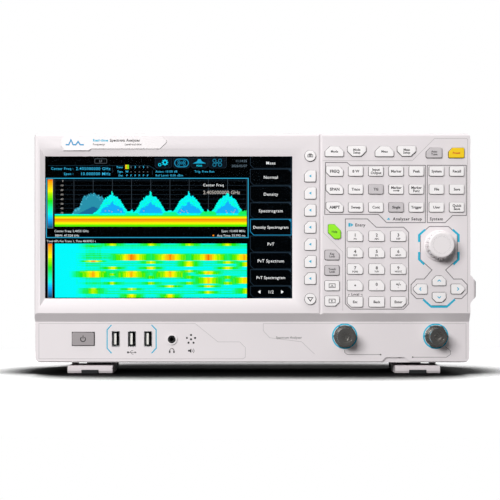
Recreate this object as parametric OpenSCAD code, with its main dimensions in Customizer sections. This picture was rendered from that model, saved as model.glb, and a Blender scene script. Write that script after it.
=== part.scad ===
// Bench spectrum analyzer: touch screen, key panel, knob, connector strip and tilt legs.
// X runs to the right, Y to the back, Z up. The desk is at Z = 0 and the front faces -Y.

/* [Case] */
// Width of the case over the whole of its height
case_w = 404.5; // [390:1:480]
// How far the right-hand edge steps out beside the arrow keys
bump_out = 5.5; // [3:0.5:8]
// Height of the case, from its underside to its top
case_h = 212.9; // [205:1:260]
// Height of the case above the desk
foot_h = 11.1; // [9:0.1:16]
// Depth from the key panel's face to the back of the rear cover
case_d = 117; // [110:1:150]
// Depth of the moulded front frame, from the key panel's face to the parting line
bezel_d = 28; // [22:1:34]
// Wall thickness of the mouldings
wall = 2.5; // [2:0.1:3.5]
// Radius of the case's corners seen from the front
corner_r = 4.5; // [2:0.5:8]
// Radius of the edge around the front face
front_edge_r = 3; // [1:0.5:4]
// Chamfer around the back of the rear cover
rear_cut = 9; // [4:1:14]

/* [Face] */
// Width of the display half of the face
display_w = 264; // [250:1:280]
// Width of the groove between the display half and the key panel
groove_w = 3.5; // [2:0.5:4]
// Depth of that groove
groove_d = 0.9; // [0.5:0.1:1.5]
// Width of each sloping side of that groove
groove_slope = 1.4; // [0.5:0.1:1.6]
// Height of the recessed strip that carries the connectors
strip_h = 38; // [34:1:44]
// How far that strip lies behind the key panel's face
strip_back = 6; // [3:0.5:9]
// Height of the slope between the face and the strip
slope_h = 8; // [5:0.5:12]
// Depth of the screen's sloping surround, which is the thickness of the face there
screen_depth = 2.5; // [2:0.1:3]
// Width of the screen window
screen_w = 229.7; // [220:0.5:232]
// Height of the screen window
screen_h = 132; // [124:0.5:134]
// Distance from the case's left edge to the window
screen_left = 9.8; // [9:0.5:14]
// Distance from the case's top edge to the window
screen_top = 21.2; // [20:0.5:26]
// Widths of the sloping surround at the left, right, bottom and top
surround = [4.2, 7.5, 7.4, 7];
// Width and height of the blank name plate above the screen
plate_size = [98, 12];
// Distance from the case's left edge to the name plate
plate_left = 25; // [15:1:40]
// Distance from the case's top edge to the name plate
plate_top = 2.7; // [2:0.1:5]
// How far the name plate stands out of the face
plate_proud = 0.6; // [0.3:0.1:1]
// Depth that the name plate is let into the face
plate_sunk = 0.8; // [0.5:0.1:1.2]
// Width, height and depth of the finger notch in the bottom edge beside the right leg
notch_size = [22, 4.7, 12];

/* [Keys] */
// How far the key caps stand out of the face
cap_proud = 1.7; // [1:0.1:2.5]
// Gap around each key cap
key_gap = 0.35; // [0.25:0.05:0.5]
// Travel of every key
key_travel = 1.2; // [0.8:0.1:1.5]
// Lip of the flange that keeps a key behind the face
flange_lip = 1.1; // [0.8:0.1:1.2]
// Thickness of that flange
flange_t = 1; // [0.8:0.1:1.5]
// Gap between the flange and the back of the face
flange_gap = 0.15; // [0.1:0.05:0.3]
// Length of the plunger behind the flange
plunger_l = 1.4; // [1:0.1:2]
// Width of the plunger
plunger_w = 4; // [3:0.5:5]
// Diameter of the rubber dome under a key
dome_d = 6; // [5:0.5:7]
// Height of the rubber dome
dome_h = 1.4; // [1:0.1:2]
// Thickness of the rubber mat
mat_t = 1; // [0.8:0.1:1.5]
// Thickness of the circuit boards
board_t = 1.6; // [1.2:0.1:2]

/* [Knob] */
// Diameter of the knob where it meets the face
knob_d = 28.7; // [24:0.1:32]
// Diameter of the knob's front
knob_tip_d = 23; // [18:0.1:26]
// How far the knob stands out of the face
knob_l = 15; // [12:0.5:18]
// Gap between the knob and the face
knob_gap = 0.5; // [0.3:0.1:1]
// Number of notches around the knob
knob_notches = 20; // [12:1:30]
// Diameter of the knob's shaft
shaft_d = 6; // [5:0.5:7]
// Running clearance of the shaft in its bushing, on the radius
shaft_fit = 0.05; // [0.02:0.01:0.09]

/* [Front connectors] */
// Thread diameter of the radio-frequency sockets
n_thread_d = 15.88; // [14:0.1:17]
// Length of that thread in front of the strip
n_thread_l = 17; // [14:0.5:20]
// Width across the flats of the fixing nut
n_nut_w = 19; // [18:0.5:21]
// Inside diameter of the socket
n_bore_d = 8.1; // [7.5:0.1:8.5]
// Width and height of the opening of one USB socket
usb_size = [6.4, 13.4];
// Wall of the USB socket's shell
usb_wall = 0.4; // [0.3:0.05:0.6]
// Depth of the USB socket
usb_depth = 14; // [12:0.5:18]
// Distance between the USB sockets
usb_pitch = 15.05; // [12:0.05:18]
// Bore of the headphone socket
jack_bore_d = 3.6; // [3.5:0.05:3.7]
// Length of that bore
jack_bore_l = 14; // [12:0.5:16]
// Diameter of the headphone socket's ring
jack_ring_d = 9.6; // [8:0.1:11]
// Diameter of each hole in front of the sounder
sound_hole_d = 1.9; // [1.2:0.1:2.4]
// Radius of the ring of those holes
sound_ring_r = 4; // [3:0.1:5]

/* [Legs and feet] */
// Width of one leg
leg_w = 42; // [36:1:46]
// Length of one leg from its pin to its tip
leg_l = 30; // [26:1:36]
// Thickness of the leg
leg_t = 7.4; // [6:0.1:7.8]
// Height of the leg's underside above the desk
leg_clear = 1; // [0.6:0.1:1.5]
// Gap between a leg and the lugs beside it
leg_gap = 0.4; // [0.3:0.05:0.8]
// Thickness of the lugs that hold a leg's pin
lug_t = 5; // [4:0.5:7]
// Diameter of the leg's pin
pin_d = 3; // [2.5:0.5:4]
// Running clearance of the pin in the leg, on the radius
pin_fit = 0.06; // [0.02:0.01:0.09]
// Width and length of the rubber pad under a leg's tip
pad_size = [16, 8];
// Height of the rubber pad
pad_h = 4; // [3:0.1:5]
// Width and length of the rear feet
rear_foot = [30, 18];
// Width of the corner bumpers at the back
bumper_w = 26; // [20:1:34]
// How far the corner bumpers stand out at the back
bumper_out = 3; // [2:0.5:6]

/* [Carrying handle] */
// Width of the handle over its two arms
handle_w = 150; // [130:1:170]
// Depth of the handle's grip, front to back
grip_d = 20; // [16:1:24]
// Thickness of the handle's grip
grip_t = 9; // [7:0.5:12]
// Width of each arm of the handle
arm_w = 14; // [10:1:18]
// Thickness of each arm
arm_t = 5; // [4:0.5:7]
// How far the handle pulls up
handle_lift = 35; // [25:1:45]
// Gap between the handle and its pocket and guides
handle_gap = 0.4; // [0.3:0.05:0.6]
// Depth of the pocket in the top of the case
pocket_depth = 12; // [11:0.5:16]
// Room for the fingers behind the grip
finger_gap = 12; // [10:1:16]

/* [Back] */
// Width and height of the connector plate at the back
plate_back = [350, 62];
// Thickness of that sheet-metal plate
sheet_t = 1.5; // [1:0.1:2]
// Width of the fan
fan_w = 80; // [70:1:90]
// Depth of the fan
fan_d = 20; // [15:1:25]
// Number of fan blades
fan_blades = 7; // [5:1:9]
// Running clearance of the fan's shaft, on the radius
fan_fit = 0.04; // [0.02:0.01:0.09]
// Width of the cooling slots
slot_w = 3; // [2:0.5:4]
// Distance between the cooling slots
slot_pitch = 7; // [6:0.5:10]

/* [Hidden] */
arc_steps = 6;                              // segments in a rounded corner of an outline
tiny = 0.01;

// Places of the case's faces
left_x = -(case_w + bump_out) / 2;
right_x = left_x + case_w;
low_z = foot_h;
top_z = foot_h + case_h;
knob_tip_y = -(case_d + bumper_out + knob_l) / 2;
face_y = knob_tip_y + knob_l;
strip_y = face_y + strip_back;
parting_y = face_y + bezel_d;
back_y = face_y + case_d;
slope_z = low_z + strip_h + slope_h;        // where the key panel's face ends
strip_top = low_z + strip_h;
face_back = face_y + wall;                  // inside of the face
strip_inside = strip_y + wall;

// Layers behind the keys
flange_y = face_back + flange_gap;
plunger_end = flange_y + flange_t + plunger_l;
dome_y = plunger_end + key_travel + 0.1;
mat_y = dome_y + dome_h;
board_y = mat_y + mat_t;
board_back = board_y + board_t;
chassis_y = board_back + 4;
chassis_back = chassis_y + sheet_t;

// Screen
screen_x = [left_x + screen_left, left_x + screen_left + screen_w];
screen_z = [top_z - screen_top - screen_h, top_z - screen_top];
glass_lap = 3.6;                            // how far the glass reaches behind the face
glass_t = 1.8;
seal_gap = 0.15;
glass_y = face_y + screen_depth + seal_gap;
lcd_y = glass_y + glass_t;

// Key columns and rows; every place is the centre of a cap
groove_x = left_x + display_w;
soft_x = groove_x - groove_w - 4.5;
soft_size = [10.6, 10.8];
soft_pitch = 15.8;
soft_top = top_z - 39.9;
round_d = 10.2;
capture_z = soft_top + 18.8;
page_z = soft_top - 6 * soft_pitch - 19;
panel_x = groove_x + groove_w + 2.5;        // left edge of the left-hand key column
key_size = [13.4, 8.9];
col_x = panel_x + 28.1;
col_pitch = 18.7;
row_top = top_z - 35.4;
row_pitch = 16.65;
band_size = [15.8, 9.3];
mode_size = [17.2, 9.6];
mode_z = top_z - 17.1;
mode_cut = 4.6;
quick_size = [14.6, 9.3];
quick_z = top_z - 18.4;
help_size = [11.6, 13.4];
help_z = row_top - 2 * row_pitch - 22.6;
lock_size = [13.3, 9.1];
lock_top = row_top - 77.6;
lock_pitch = 14.17;
digit_size = [14.3, 9.5];
digit_x = panel_x + 27.5;
digit_pitch = 20;
digit_top = row_top - 60.1;
digit_row = 15.2;
arrow_size = [12.6, 9.1];
arrow_x = panel_x + 105.3;
arrow_z = row_top - 109.05;
arrow_rise = 7.65;
arrow_reach = 17.35;
power_size = [20.4, 12];
power_x = left_x + 44.8;
port_z = low_z + 22;                        // centre line of the ports in the strip
knob_x = arrow_x + 0.2;
knob_z = row_top - 68.8;
corner_cut = 0.8;                           // small cut on the corners of a cap
cap_cut = 3.6;                              // large cut on the corners of a cap
plain = [corner_cut, corner_cut, corner_cut, corner_cut];
cut_tr = [corner_cut, corner_cut, cap_cut, corner_cut];
cut_tl = [corner_cut, corner_cut, corner_cut, cap_cut];
cut_br = [corner_cut, cap_cut, corner_cut, corner_cut];
cut_bl = [cap_cut, corner_cut, corner_cut, corner_cut];
cut_top = [corner_cut, corner_cut, mode_cut, mode_cut];
cut_low = [mode_cut, mode_cut, corner_cut, corner_cut];
cut_left = [cap_cut, corner_cut, corner_cut, cap_cut];
cut_right = [corner_cut, cap_cut, cap_cut, corner_cut];
cut_cross = [cap_cut, corner_cut, cap_cut, corner_cut];
round_cut = [];                             // marks a round cap

function col(i) = col_x + i * col_pitch;
function row(i) = row_top - i * row_pitch;
function digit_pos(c, r) = [digit_x + c * digit_pitch, digit_top - r * digit_row];

// Every key: its node, the centre of its cap, its size and the cuts at its corners
KEYS = concat(
  [["power_button", [power_x, port_z], power_size, plain],
   ["capture_key", [soft_x, capture_z], [round_d, round_d], round_cut],
   ["page_key", [soft_x, page_z], [round_d, round_d], round_cut]],
  [for (i = [0:6]) [str("softkey_", i + 1), [soft_x, soft_top - i * soft_pitch], soft_size, cut_tl]],
  [["up_key", [arrow_x, arrow_z + arrow_rise], arrow_size, [corner_cut, corner_cut, cap_cut, cap_cut]],
   ["down_key", [arrow_x, arrow_z - arrow_rise], arrow_size, [cap_cut, cap_cut, corner_cut, corner_cut]],
   ["left_key", [arrow_x - arrow_reach, arrow_z], arrow_size, cut_left],
   ["right_key", [arrow_x + arrow_reach, arrow_z], arrow_size, cut_right],
   ["help_key", [panel_x + help_size[0] / 2 + 2.6, help_z], help_size, [5.8, 1.4, 5.8, corner_cut]],
   ["auto_tune_key", [col(3) + 16.5, quick_z], quick_size, cut_tl],
   ["preset_key", [col(4) + 18.4, quick_z], quick_size, cut_tl],
   ["mode_keys", [panel_x + 8.35, mode_z], mode_size, cut_top],
   ["mode_keys", [panel_x + 29.05, mode_z + 0.3], mode_size, cut_low],
   ["meas_keys", [panel_x + 54.7, mode_z], mode_size, cut_top],
   ["meas_keys", [panel_x + 75.2, mode_z + 0.3], mode_size, cut_low]],
  [for (r = [0:2]) ["band_keys", [panel_x + 8.6, row(r)], band_size, cut_cross]],
  [for (c = [0:3], r = [0:2]) if (!is_backlit(c, r)) ["setup_keys", [col(c), row(r)], key_size, plain]],
  [for (c = [0:3], r = [0:2]) if (is_backlit(c, r)) ["backlit_keys", [col(c), row(r)], key_size, plain]],
  [for (c = [4:5], r = [0:2]) ["system_keys", [col(c), row(r)], key_size, plain]],
  [for (r = [0:1]) ["lock_keys", [panel_x + 6.2, lock_top - r * lock_pitch], lock_size,
    r == 0 ? cut_tr : plain]],
  [for (r = [2:3]) ["screen_keys", [panel_x + 6.2, lock_top - r * lock_pitch], lock_size,
    r == 3 ? cut_br : plain]],
  [for (c = [0:2], r = [0:3]) ["digit_keys", digit_pos(c, r), digit_size, cut_tr]],
  [for (c = [0:2]) ["entry_keys", digit_pos(c, 4), digit_size,
    c == 0 ? cut_bl : c == 2 ? cut_br : plain]]
);
function is_backlit(c, r) = (c == 1 && r == 1) || (c == 2 && r == 2);
PANEL_KEYS = [for (k = KEYS) if (k[0] != "power_button") k];

// Outlines, all as lists of points --------------------------------------------------------------

function arc(cx, cy, r, a0, a1) =
  [for (i = [0:arc_steps]) let (a = a0 + (a1 - a0) * i / arc_steps) [cx + r * cos(a), cy + r * sin(a)]];

// Rectangle from corner p to corner q with rounded corners
function round_box(p, q, r) = concat(
  arc(p[0] + r, p[1] + r, r, 180, 270),
  arc(q[0] - r, p[1] + r, r, 270, 360),
  arc(q[0] - r, q[1] - r, r, 0, 90),
  arc(p[0] + r, q[1] - r, r, 90, 180));

// Rectangle around the origin, with corners cut by c = [bottom left, bottom right, top right, top left]
function cut_box(w, h, c) = [
  [-w / 2 + c[0], -h / 2], [w / 2 - c[1], -h / 2], [w / 2, -h / 2 + c[1]], [w / 2, h / 2 - c[2]],
  [w / 2 - c[2], h / 2], [-w / 2 + c[3], h / 2], [-w / 2, h / 2 - c[3]], [-w / 2, -h / 2 + c[0]]];

function ring_points(d, n) = [for (i = [0:n - 1]) d / 2 * [cos(360 * i / n), sin(360 * i / n)]];

// Outline of a key's cap, grown by g on every side
function cap_outline(k, g) = k[3] == round_cut
  ? ring_points(k[2][0] + 2 * g, 48)
  : cut_box(k[2][0] + 2 * g, k[2][1] + 2 * g, [for (c = k[3]) c + g * 0.6]);

// Outline of the case from the front, shrunk by g, with the bump beside the arrow keys
function case_outline(g) = let (
    p = [left_x + g, low_z + g],
    q = [right_x - g, top_z - g],
    r = max(corner_r - g, 0.5),
    cut = bump_out + 0.9,
    half = 13 - g * 0.4)
  concat(
    arc(p[0] + r, p[1] + r, r, 180, 270),
    arc(q[0] - r, p[1] + r, r, 270, 360),
    [[q[0], arrow_z - half], [q[0] + bump_out, arrow_z - half + cut],
     [q[0] + bump_out, arrow_z + half - cut], [q[0], arrow_z + half]],
    arc(q[0] - r, q[1] - r, r, 0, 90),
    arc(p[0] + r, q[1] - r, r, 90, 180));

// Building blocks -------------------------------------------------------------------------------

// Extrudes a front view outline from y0 back to y1
module plate(y0, y1) {
  translate([0, y1, 0]) rotate([90, 0, 0]) linear_extrude(y1 - y0) children();
}

// Extrudes a side view outline (Y across, Z up) from x0 to x1
module bar(x0, x1) {
  translate([x0, 0, 0]) rotate([90, 0, 90]) linear_extrude(x1 - x0) children();
}

// Cylinder along Y from y0 to y1
module rod_y(x, z, y0, y1, d) {
  translate([x, y1, z]) rotate([90, 0, 0]) cylinder(d = d, h = y1 - y0, $fn = 48);
}

// Cylinder along X from x0 to x1
module rod_x(y, z, x0, x1, d) {
  translate([x0, y, z]) rotate([0, 90, 0]) cylinder(d = d, h = x1 - x0, $fn = 48);
}

module box(p, q) {
  translate(p) cube([q[0] - p[0], q[1] - p[1], q[2] - p[2]]);
}

// Key: cap through the face, flange behind it and a plunger over its dome
module key(k, face = face_y) {
  back = face + flange_y - face_y;
  translate([k[1][0], 0, k[1][1]]) {
    plate(face - cap_proud, back + flange_t) polygon(cap_outline(k, 0));
    plate(back, back + flange_t) polygon(cap_outline(k, flange_lip));
    plate(back, back + flange_t + plunger_l) square(plunger_w, center = true);
  }
}

module keys_named(name) {
  for (k = KEYS) {
    if (k[0] == name) key(k, name == "power_button" ? strip_y : face_y);
  }
}

module key_hole(k) {
  translate([k[1][0], 0, k[1][1]]) plate(face_y - 1, strip_inside + 1) polygon(cap_outline(k, key_gap));
}

// Front frame -----------------------------------------------------------------------------------

n_places = [[right_x - 116, port_z + 2.5], [right_x - 31.1, port_z + 2.5]];
usb_x = left_x + 75;
jack_pos = [left_x + 127.3, port_z - 0.4];
sound_pos = [left_x + 145.2, port_z - 0.4];
boss_d = 7;
boss_x = [left_x + 16, left_x + case_w * 0.36, right_x - 12];
boss_z = [low_z + 7, top_z - 5.6];
post_d = 4;
row_gap_z = row_pitch / 2;
post_places = [
  [soft_x, (capture_z + soft_top) / 2],
  [soft_x, (page_z + soft_top - 6 * soft_pitch) / 2],
  [col(1) + col_pitch / 2, row(0) - row_gap_z],
  [col(3) + col_pitch / 2, row(1) - row_gap_z],
  [digit_x - digit_size[0] / 2 - 3.7, page_z + 5],
  [digit_x + 2 * digit_pitch + digit_size[0] / 2 + 3.5, digit_top],
  [right_x - 7, arrow_z + 20],
  [right_x - 6, row(0) + 9]];

// Side view of the front frame, with its rounded front top edge; g shrinks it all round
module bezel_side(g) {
  r = max(front_edge_r - g, 0.4);
  polygon(concat(
    [[parting_y, low_z + g], [strip_y + g + 1, low_z + g], [strip_y + g, low_z + g + 1],
     [strip_y + g, strip_top - g * 0.4], [face_y + g, slope_z - g * 0.6]],
    [for (i = [0:arc_steps]) let (a = 180 - 90 * i / arc_steps)
      [face_y + g + r + r * cos(a), top_z - g - r + r * sin(a)]],
    [[parting_y, top_z - g]]));
}

// Plan view of the front frame, with its rounded front side edges
module bezel_plan(g) {
  r = max(front_edge_r - g, 0.4);
  y1 = parting_y;
  x0 = left_x + g;
  x1 = right_x + bump_out - g;
  polygon(concat(
    [[x0, y1]],
    arc(x0 + r, face_y + g + r, r, 180, 270),
    arc(x1 - r, face_y + g + r, r, 270, 360),
    [[x1, y1]]));
}

module bezel_solid(g, extra = 0) {
  intersection() {
    plate(face_y - 1, parting_y + extra) polygon(case_outline(g));
    bar(left_x - 1, right_x + bump_out + 1) bezel_side(g);
    translate([0, 0, low_z - 1]) linear_extrude(case_h + 2) bezel_plan(g);
  }
}

// Hollow behind the face; it runs out through the open back
module bezel_hollow() {
  union() {
    bezel_solid(wall);
    plate(parting_y - 1, parting_y + 1) polygon(case_outline(wall));
  }
}

// Sloping surround of the screen: two crossed wedges leave four sloping sides
module screen_pocket() {
  y1 = face_y + screen_depth;
  intersection() {
    translate([0, 0, low_z]) linear_extrude(case_h)
      polygon([[screen_x[0] - surround[0] * 1.4, face_y - 0.4 * screen_depth],
        [screen_x[1] + surround[1] * 1.4, face_y - 0.4 * screen_depth],
        [screen_x[1], y1], [screen_x[0], y1]]);
    bar(left_x, right_x)
      polygon([[face_y - 0.4 * screen_depth, screen_z[0] - surround[2] * 1.4], [y1, screen_z[0]],
        [y1, screen_z[1]], [face_y - 0.4 * screen_depth, screen_z[1] + surround[3] * 1.4]]);
  }
  box([screen_x[0], face_y - 1, screen_z[0]], [screen_x[1], face_back + 1, screen_z[1]]);
}

module name_plate_outline(g) {
  w = plate_size[0];
  h = plate_size[1];
  polygon([[g + 2, -h + g], [g + 2, -h - 1.6 + g], [26 - g, -h - 1.6 + g], [28 - g, -h + g],
    [w - 6 - g, -h + g], [w - g, -h + 6], [w - g, -4], [w - 4 - g, -g], [4 + g, -g], [g, -4],
    [g, -h + 3]]);
}

module at_name_plate() {
  translate([left_x + plate_left, 0, top_z - plate_top]) children();
}

module front_bezel() {
  color("#EFEBEB") {
    difference() {
      bezel_solid(0);
      bezel_hollow();
      screen_pocket();
      at_name_plate() plate(face_y - 1, face_y + plate_sunk) name_plate_outline(0);
      for (k = KEYS) key_hole(k);
      rod_y(knob_x, knob_z, face_y - 1, face_back + 1, encoder_collar_d + 0.6);
      // groove between the display half and the key panel
      translate([0, 0, slope_z - 2]) linear_extrude(case_h)
        polygon([[groove_x, face_y - 1], [groove_x, face_y], [groove_x + groove_slope, face_y + groove_d],
          [groove_x + groove_w - groove_slope, face_y + groove_d], [groove_x + groove_w, face_y],
          [groove_x + groove_w, face_y - 1]]);
      for (i = [0:2]) {
        translate([usb_x + i * usb_pitch, 0, port_z])
          plate(strip_y - 1, strip_inside + 1) square(usb_size + [2, 2] * (usb_wall + 0.15), center = true);
      }
      rod_y(jack_pos[0], jack_pos[1], strip_y - 1, strip_inside + 1, jack_nose_d + 0.4);
      rod_y(sound_pos[0], sound_pos[1], strip_y - 1, strip_inside + 1, sound_hole_d);
      for (i = [0:4]) {
        rod_y(sound_pos[0] + sound_ring_r * sin(72 * i), sound_pos[1] + sound_ring_r * cos(72 * i),
          strip_y - 1, strip_inside + 1, sound_hole_d);
      }
      for (p = n_places) rod_y(p[0], p[1], strip_y - 1, strip_inside + 1, n_thread_d + 0.2);
      bottom_notch();
    }
    for (x = boss_x, z = boss_z) {
      rod_y(x, z, (z < slope_z ? strip_inside : face_back) - tiny, chassis_y, boss_d);
    }
    for (p = post_places) rod_y(p[0], p[1], face_back - tiny, board_y, post_d);
  }
}

module bottom_notch() {
  x = leg_x(1) - leg_w / 2 - notch_size[0] + 8;
  translate([x, 0, 0]) plate(strip_y - 1, strip_y + wall - 0.8)
    polygon([[0, low_z - 1], [notch_size[1], low_z + notch_size[1]],
      [notch_size[0], low_z + notch_size[1]], [notch_size[0] + 8, low_z - 1]]);
}

module badge_plate() {
  color("#F1EDED") at_name_plate()
    plate(face_y - plate_proud, face_y + plate_sunk) name_plate_outline(0.15);
}

module display_glass() {
  color("#20262B") box([screen_x[0] - glass_lap, glass_y, screen_z[0] - glass_lap],
    [screen_x[1] + glass_lap, glass_y + glass_t, screen_z[1] + glass_lap]);
}

// Panel of the display: a steel pan with a stepped rim, held between the glass and the chassis
module lcd_module() {
  color("#8C9094") {
    box([screen_x[0] - 3, lcd_y, screen_z[0] - 3], [screen_x[1] + 3, lcd_y + 3, screen_z[1] + 3]);
    box([screen_x[0] + 2, lcd_y, screen_z[0] + 2], [screen_x[1] - 2, chassis_y, screen_z[1] - 2]);
  }
}

// Keys, mat and board ---------------------------------------------------------------------------

board_x = [soft_x - 7.5, right_x - 4];
board_z = [page_z - 9, capture_z + 11.6];
power_board = [30, 20];
power_shift = strip_y - face_y;

module board_outline(g) {
  polygon([[board_x[0] + g, board_z[0] + g], [board_x[1] - g, board_z[0] + g],
    [board_x[1] - g, board_z[1] - g], [board_x[0] + g, board_z[1] - g]]);
}

module key_mat() {
  color("#3A3D40") {
    difference() {
      union() {
        plate(mat_y, board_y) board_outline(1.5);
        for (k = PANEL_KEYS) rod_y(k[1][0], k[1][1], dome_y, mat_y + tiny, dome_d);
      }
      for (p = post_places) rod_y(p[0], p[1], mat_y - 1, board_y + 1, post_d + 0.6);
      rod_y(knob_x, knob_z, dome_y - 1, board_y + 1, encoder_body_w * 1.5);
    }
    translate([power_x, power_shift, port_z]) {
      plate(mat_y, board_y) square(power_board - [8, 4], center = true);
      rod_y(0, 0, dome_y, mat_y + tiny, dome_d);
    }
  }
}

// Main key board, and the small board behind the power button
module key_board() {
  color("#1E6B45") {
    difference() {
      plate(board_y, board_back) board_outline(0);
      rod_y(knob_x, knob_z, board_y - 1, board_back + 1, 4);
    }
    translate([power_x, power_shift, port_z])
      plate(board_y, board_back) square(power_board, center = true);
    // stand-offs that hold the small board to the strip
    for (s = [-1, 1]) {
      rod_y(power_x + s * (power_board[0] / 2 - 1.6), port_z - power_board[1] / 2 + 1.6,
        strip_inside, board_y + power_shift + tiny, 2.6);
    }
  }
}

encoder_body_w = 14;
encoder_collar_d = 9;

module encoder() {
  color("#9A9DA0") difference() {
    union() {
      translate([knob_x, 0, knob_z]) plate(face_back + 1.2, board_y) square(encoder_body_w, center = true);
      rod_y(knob_x, knob_z, face_y - knob_gap + 0.1, face_back + 1.3, encoder_collar_d);
    }
    rod_y(knob_x, knob_z, face_y - 3, board_y - 1.5, shaft_d + 2 * shaft_fit);
  }
}

// Knob: flared skirt, cone, dished front and a ring of notches; its shaft runs in the encoder
module knob() {
  r0 = knob_d / 2;
  r1 = knob_tip_d / 2;
  color("#ECE8E8") translate([knob_x, face_y - knob_gap, knob_z]) rotate([90, 0, 0]) {
    h = knob_l - knob_gap;
    difference() {
      union() {
        rotate_extrude($fn = 96) polygon(concat(
          [[0, 2.2], [r0 - 2.4, 2.2], [r0 - 2.4, 0], [r0 - 0.6, 0], [r0, 0.6], [r0, 1.6],
           [r0 - 1.1, 2.4], [r1 + 0.7, h - 3], [r1 + 0.4, h - 1.4]],
          [for (i = [1:4]) let (a = 22.5 * i) [r1 - 1.6 + 2 * cos(a), h - 1.4 + 1.4 * sin(a)]],
          [[r1 - 2.6, h - 0.25], [0, h - 0.25]]));
        translate([0, 0, -(board_y - 1.8 - face_y) + knob_gap])
          cylinder(d = shaft_d, h = board_y - face_y, $fn = 48);
      }
      for (i = [0:knob_notches - 1]) {
        rotate([0, 0, 360 * (i + 0.5) / knob_notches]) translate([r1 + 0.9, 0, 4.2])
          cylinder(d = 1.5, h = h, $fn = 24);
      }
    }
  }
}

// Front connectors ------------------------------------------------------------------------------

n_flange_t = 2.2;
n_body_l = 12;                              // length behind the strip

// Socket with a nut and washer in front, a threaded barrel, and a recessed contact
module n_connector(p) {
  nut_y = strip_y - 4.2;
  tip_y = strip_y - n_thread_l;
  color("#C9CCCE") difference() {
    union() {
      rod_y(p[0], p[1], tip_y, strip_inside + 3, n_thread_d);
      rod_y(p[0], p[1], strip_y - 0.8, strip_y, n_nut_w + 1.4);
      translate([p[0], strip_y - 0.8 + tiny, p[1]]) rotate([90, 0, 0])
        cylinder(d = n_nut_w / cos(30), h = 3.4, $fn = 6);
      rod_y(p[0], p[1], strip_inside, strip_inside + n_flange_t, n_thread_d + 4);
      rod_y(p[0], p[1], strip_inside, strip_inside + n_body_l, 11);
    }
    rod_y(p[0], p[1], tip_y - 1, tip_y + 9, n_bore_d);
    rod_y(p[0], p[1], tip_y - 1, tip_y + 1.2, n_bore_d + 3.4);
  }
  color("#D9B44A") rod_y(p[0], p[1], tip_y + 3, tip_y + 9 + tiny, 3);
}

module rf_input_connector() { n_connector(n_places[1]); }

module generator_output_connector() { n_connector(n_places[0]); }

module usb_socket(x) {
  outer = usb_size + [2, 2] * usb_wall;
  y0 = strip_y - 0.5;
  color("#B8BABD") {
    translate([x, 0, port_z]) difference() {
      union() {
        plate(y0, strip_inside + usb_depth) square(outer, center = true);
        plate(strip_inside, strip_inside + 0.8) square(outer + [3, 3], center = true);
      }
      plate(y0 - 1, strip_inside + usb_depth - 1) square(usb_size, center = true);
    }
    // tongue that carries the contacts
    translate([x - usb_size[0] / 2 + 1.6, 0, port_z])
      plate(y0 + 1.5, strip_inside + usb_depth - 0.5) square([1.9, usb_size[1] - 2.4], center = true);
  }
}

module usb_sockets() {
  for (i = [0:2]) usb_socket(usb_x + i * usb_pitch);
  // circuit board that carries the three sockets
  color("#1E6B45") translate([usb_x + usb_pitch, 0, port_z])
    plate(strip_inside + usb_depth - tiny, strip_inside + usb_depth + board_t)
      square([2 * usb_pitch + 14, 22], center = true);
}

jack_nose_d = 7.4;

module headphone_jack() {
  p = jack_pos;
  color("#2B2D30") difference() {
    union() {
      rod_y(p[0], p[1], strip_y - 0.3, strip_inside + 1, jack_nose_d);
      rod_y(p[0], p[1], strip_y - 0.9, strip_y, jack_ring_d);
      translate([p[0], 0, p[1]]) plate(strip_inside, strip_inside + 12) square([10, 8], center = true);
    }
    rod_y(p[0], p[1], strip_y - 2, strip_y - 0.9 + jack_bore_l, jack_bore_d);
  }
}

module speaker() {
  color("#3B3E42") {
    rod_y(sound_pos[0], sound_pos[1], strip_inside, strip_inside + 4, 14);
    rod_y(sound_pos[0], sound_pos[1], strip_inside + 4 - tiny, strip_inside + 7, 9);
  }
}

// Rear cover and handle -------------------------------------------------------------------------

handle_x = [-handle_w / 2, handle_w / 2];
grip_y = [parting_y + 26, parting_y + 26 + grip_d];
pocket_x = [handle_x[0] - handle_gap - 1, handle_x[1] + handle_gap + 1];
pocket_y = [grip_y[0] - handle_gap - 1, grip_y[1] + finger_gap];
pocket_z = top_z - pocket_depth;
grip_top = top_z - 0.6;
grip_low = grip_top - grip_t;
arm_mid = (grip_y[0] + grip_y[1]) / 2;
guide_h = 24;
guide_low = pocket_z - guide_h;
arm_low = guide_low - handle_lift - 4;
stop_t = 4;
stop_out = 2.5;
arm_x = [handle_x[0] + arm_w / 2 + 2, handle_x[1] - arm_w / 2 - 2];
fan_x = right_x - 78;
plate_x = [-plate_back[0] / 2 + (left_x + right_x) / 2, plate_back[0] / 2 + (left_x + right_x) / 2];
plate_z = [low_z + 12, low_z + 12 + plate_back[1]];
fan_z = plate_z[1] + fan_w / 2 + 6.9;
plate_in = 10;                              // how far the plate lies inside the back of the cover
panel_y = back_y - plate_in;
well_d = 11;
well_bore = 6.6;
screw_d = 3;
screw_seat_y = chassis_back + 12;
well_x = [left_x + 15, right_x - 15];
well_z = [low_z + 9, top_z - 15];

module cover_outline(g) {
  r = max(corner_r - g, 0.5);
  polygon(round_box([left_x + g, low_z + g], [right_x - g, top_z - g], r));
}

// Side view of the cover with its cut rear edges
module cover_solid(g, front = 0) {
  y0 = parting_y - front;
  c = rear_cut - g * 0.4;
  intersection() {
    plate(y0, back_y) cover_outline(g);
    bar(left_x, right_x) polygon([[y0, low_z], [back_y - g, low_z], [back_y - g, top_z - g - c],
      [back_y - g - c, top_z], [y0, top_z]]);
    translate([0, 0, low_z]) linear_extrude(case_h) polygon([[left_x + g, y0], [right_x - g, y0],
      [right_x - g, back_y - g - c], [right_x - g - c, back_y - g], [left_x + g + c, back_y - g],
      [left_x + g, back_y - g - c]]);
  }
}

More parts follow.
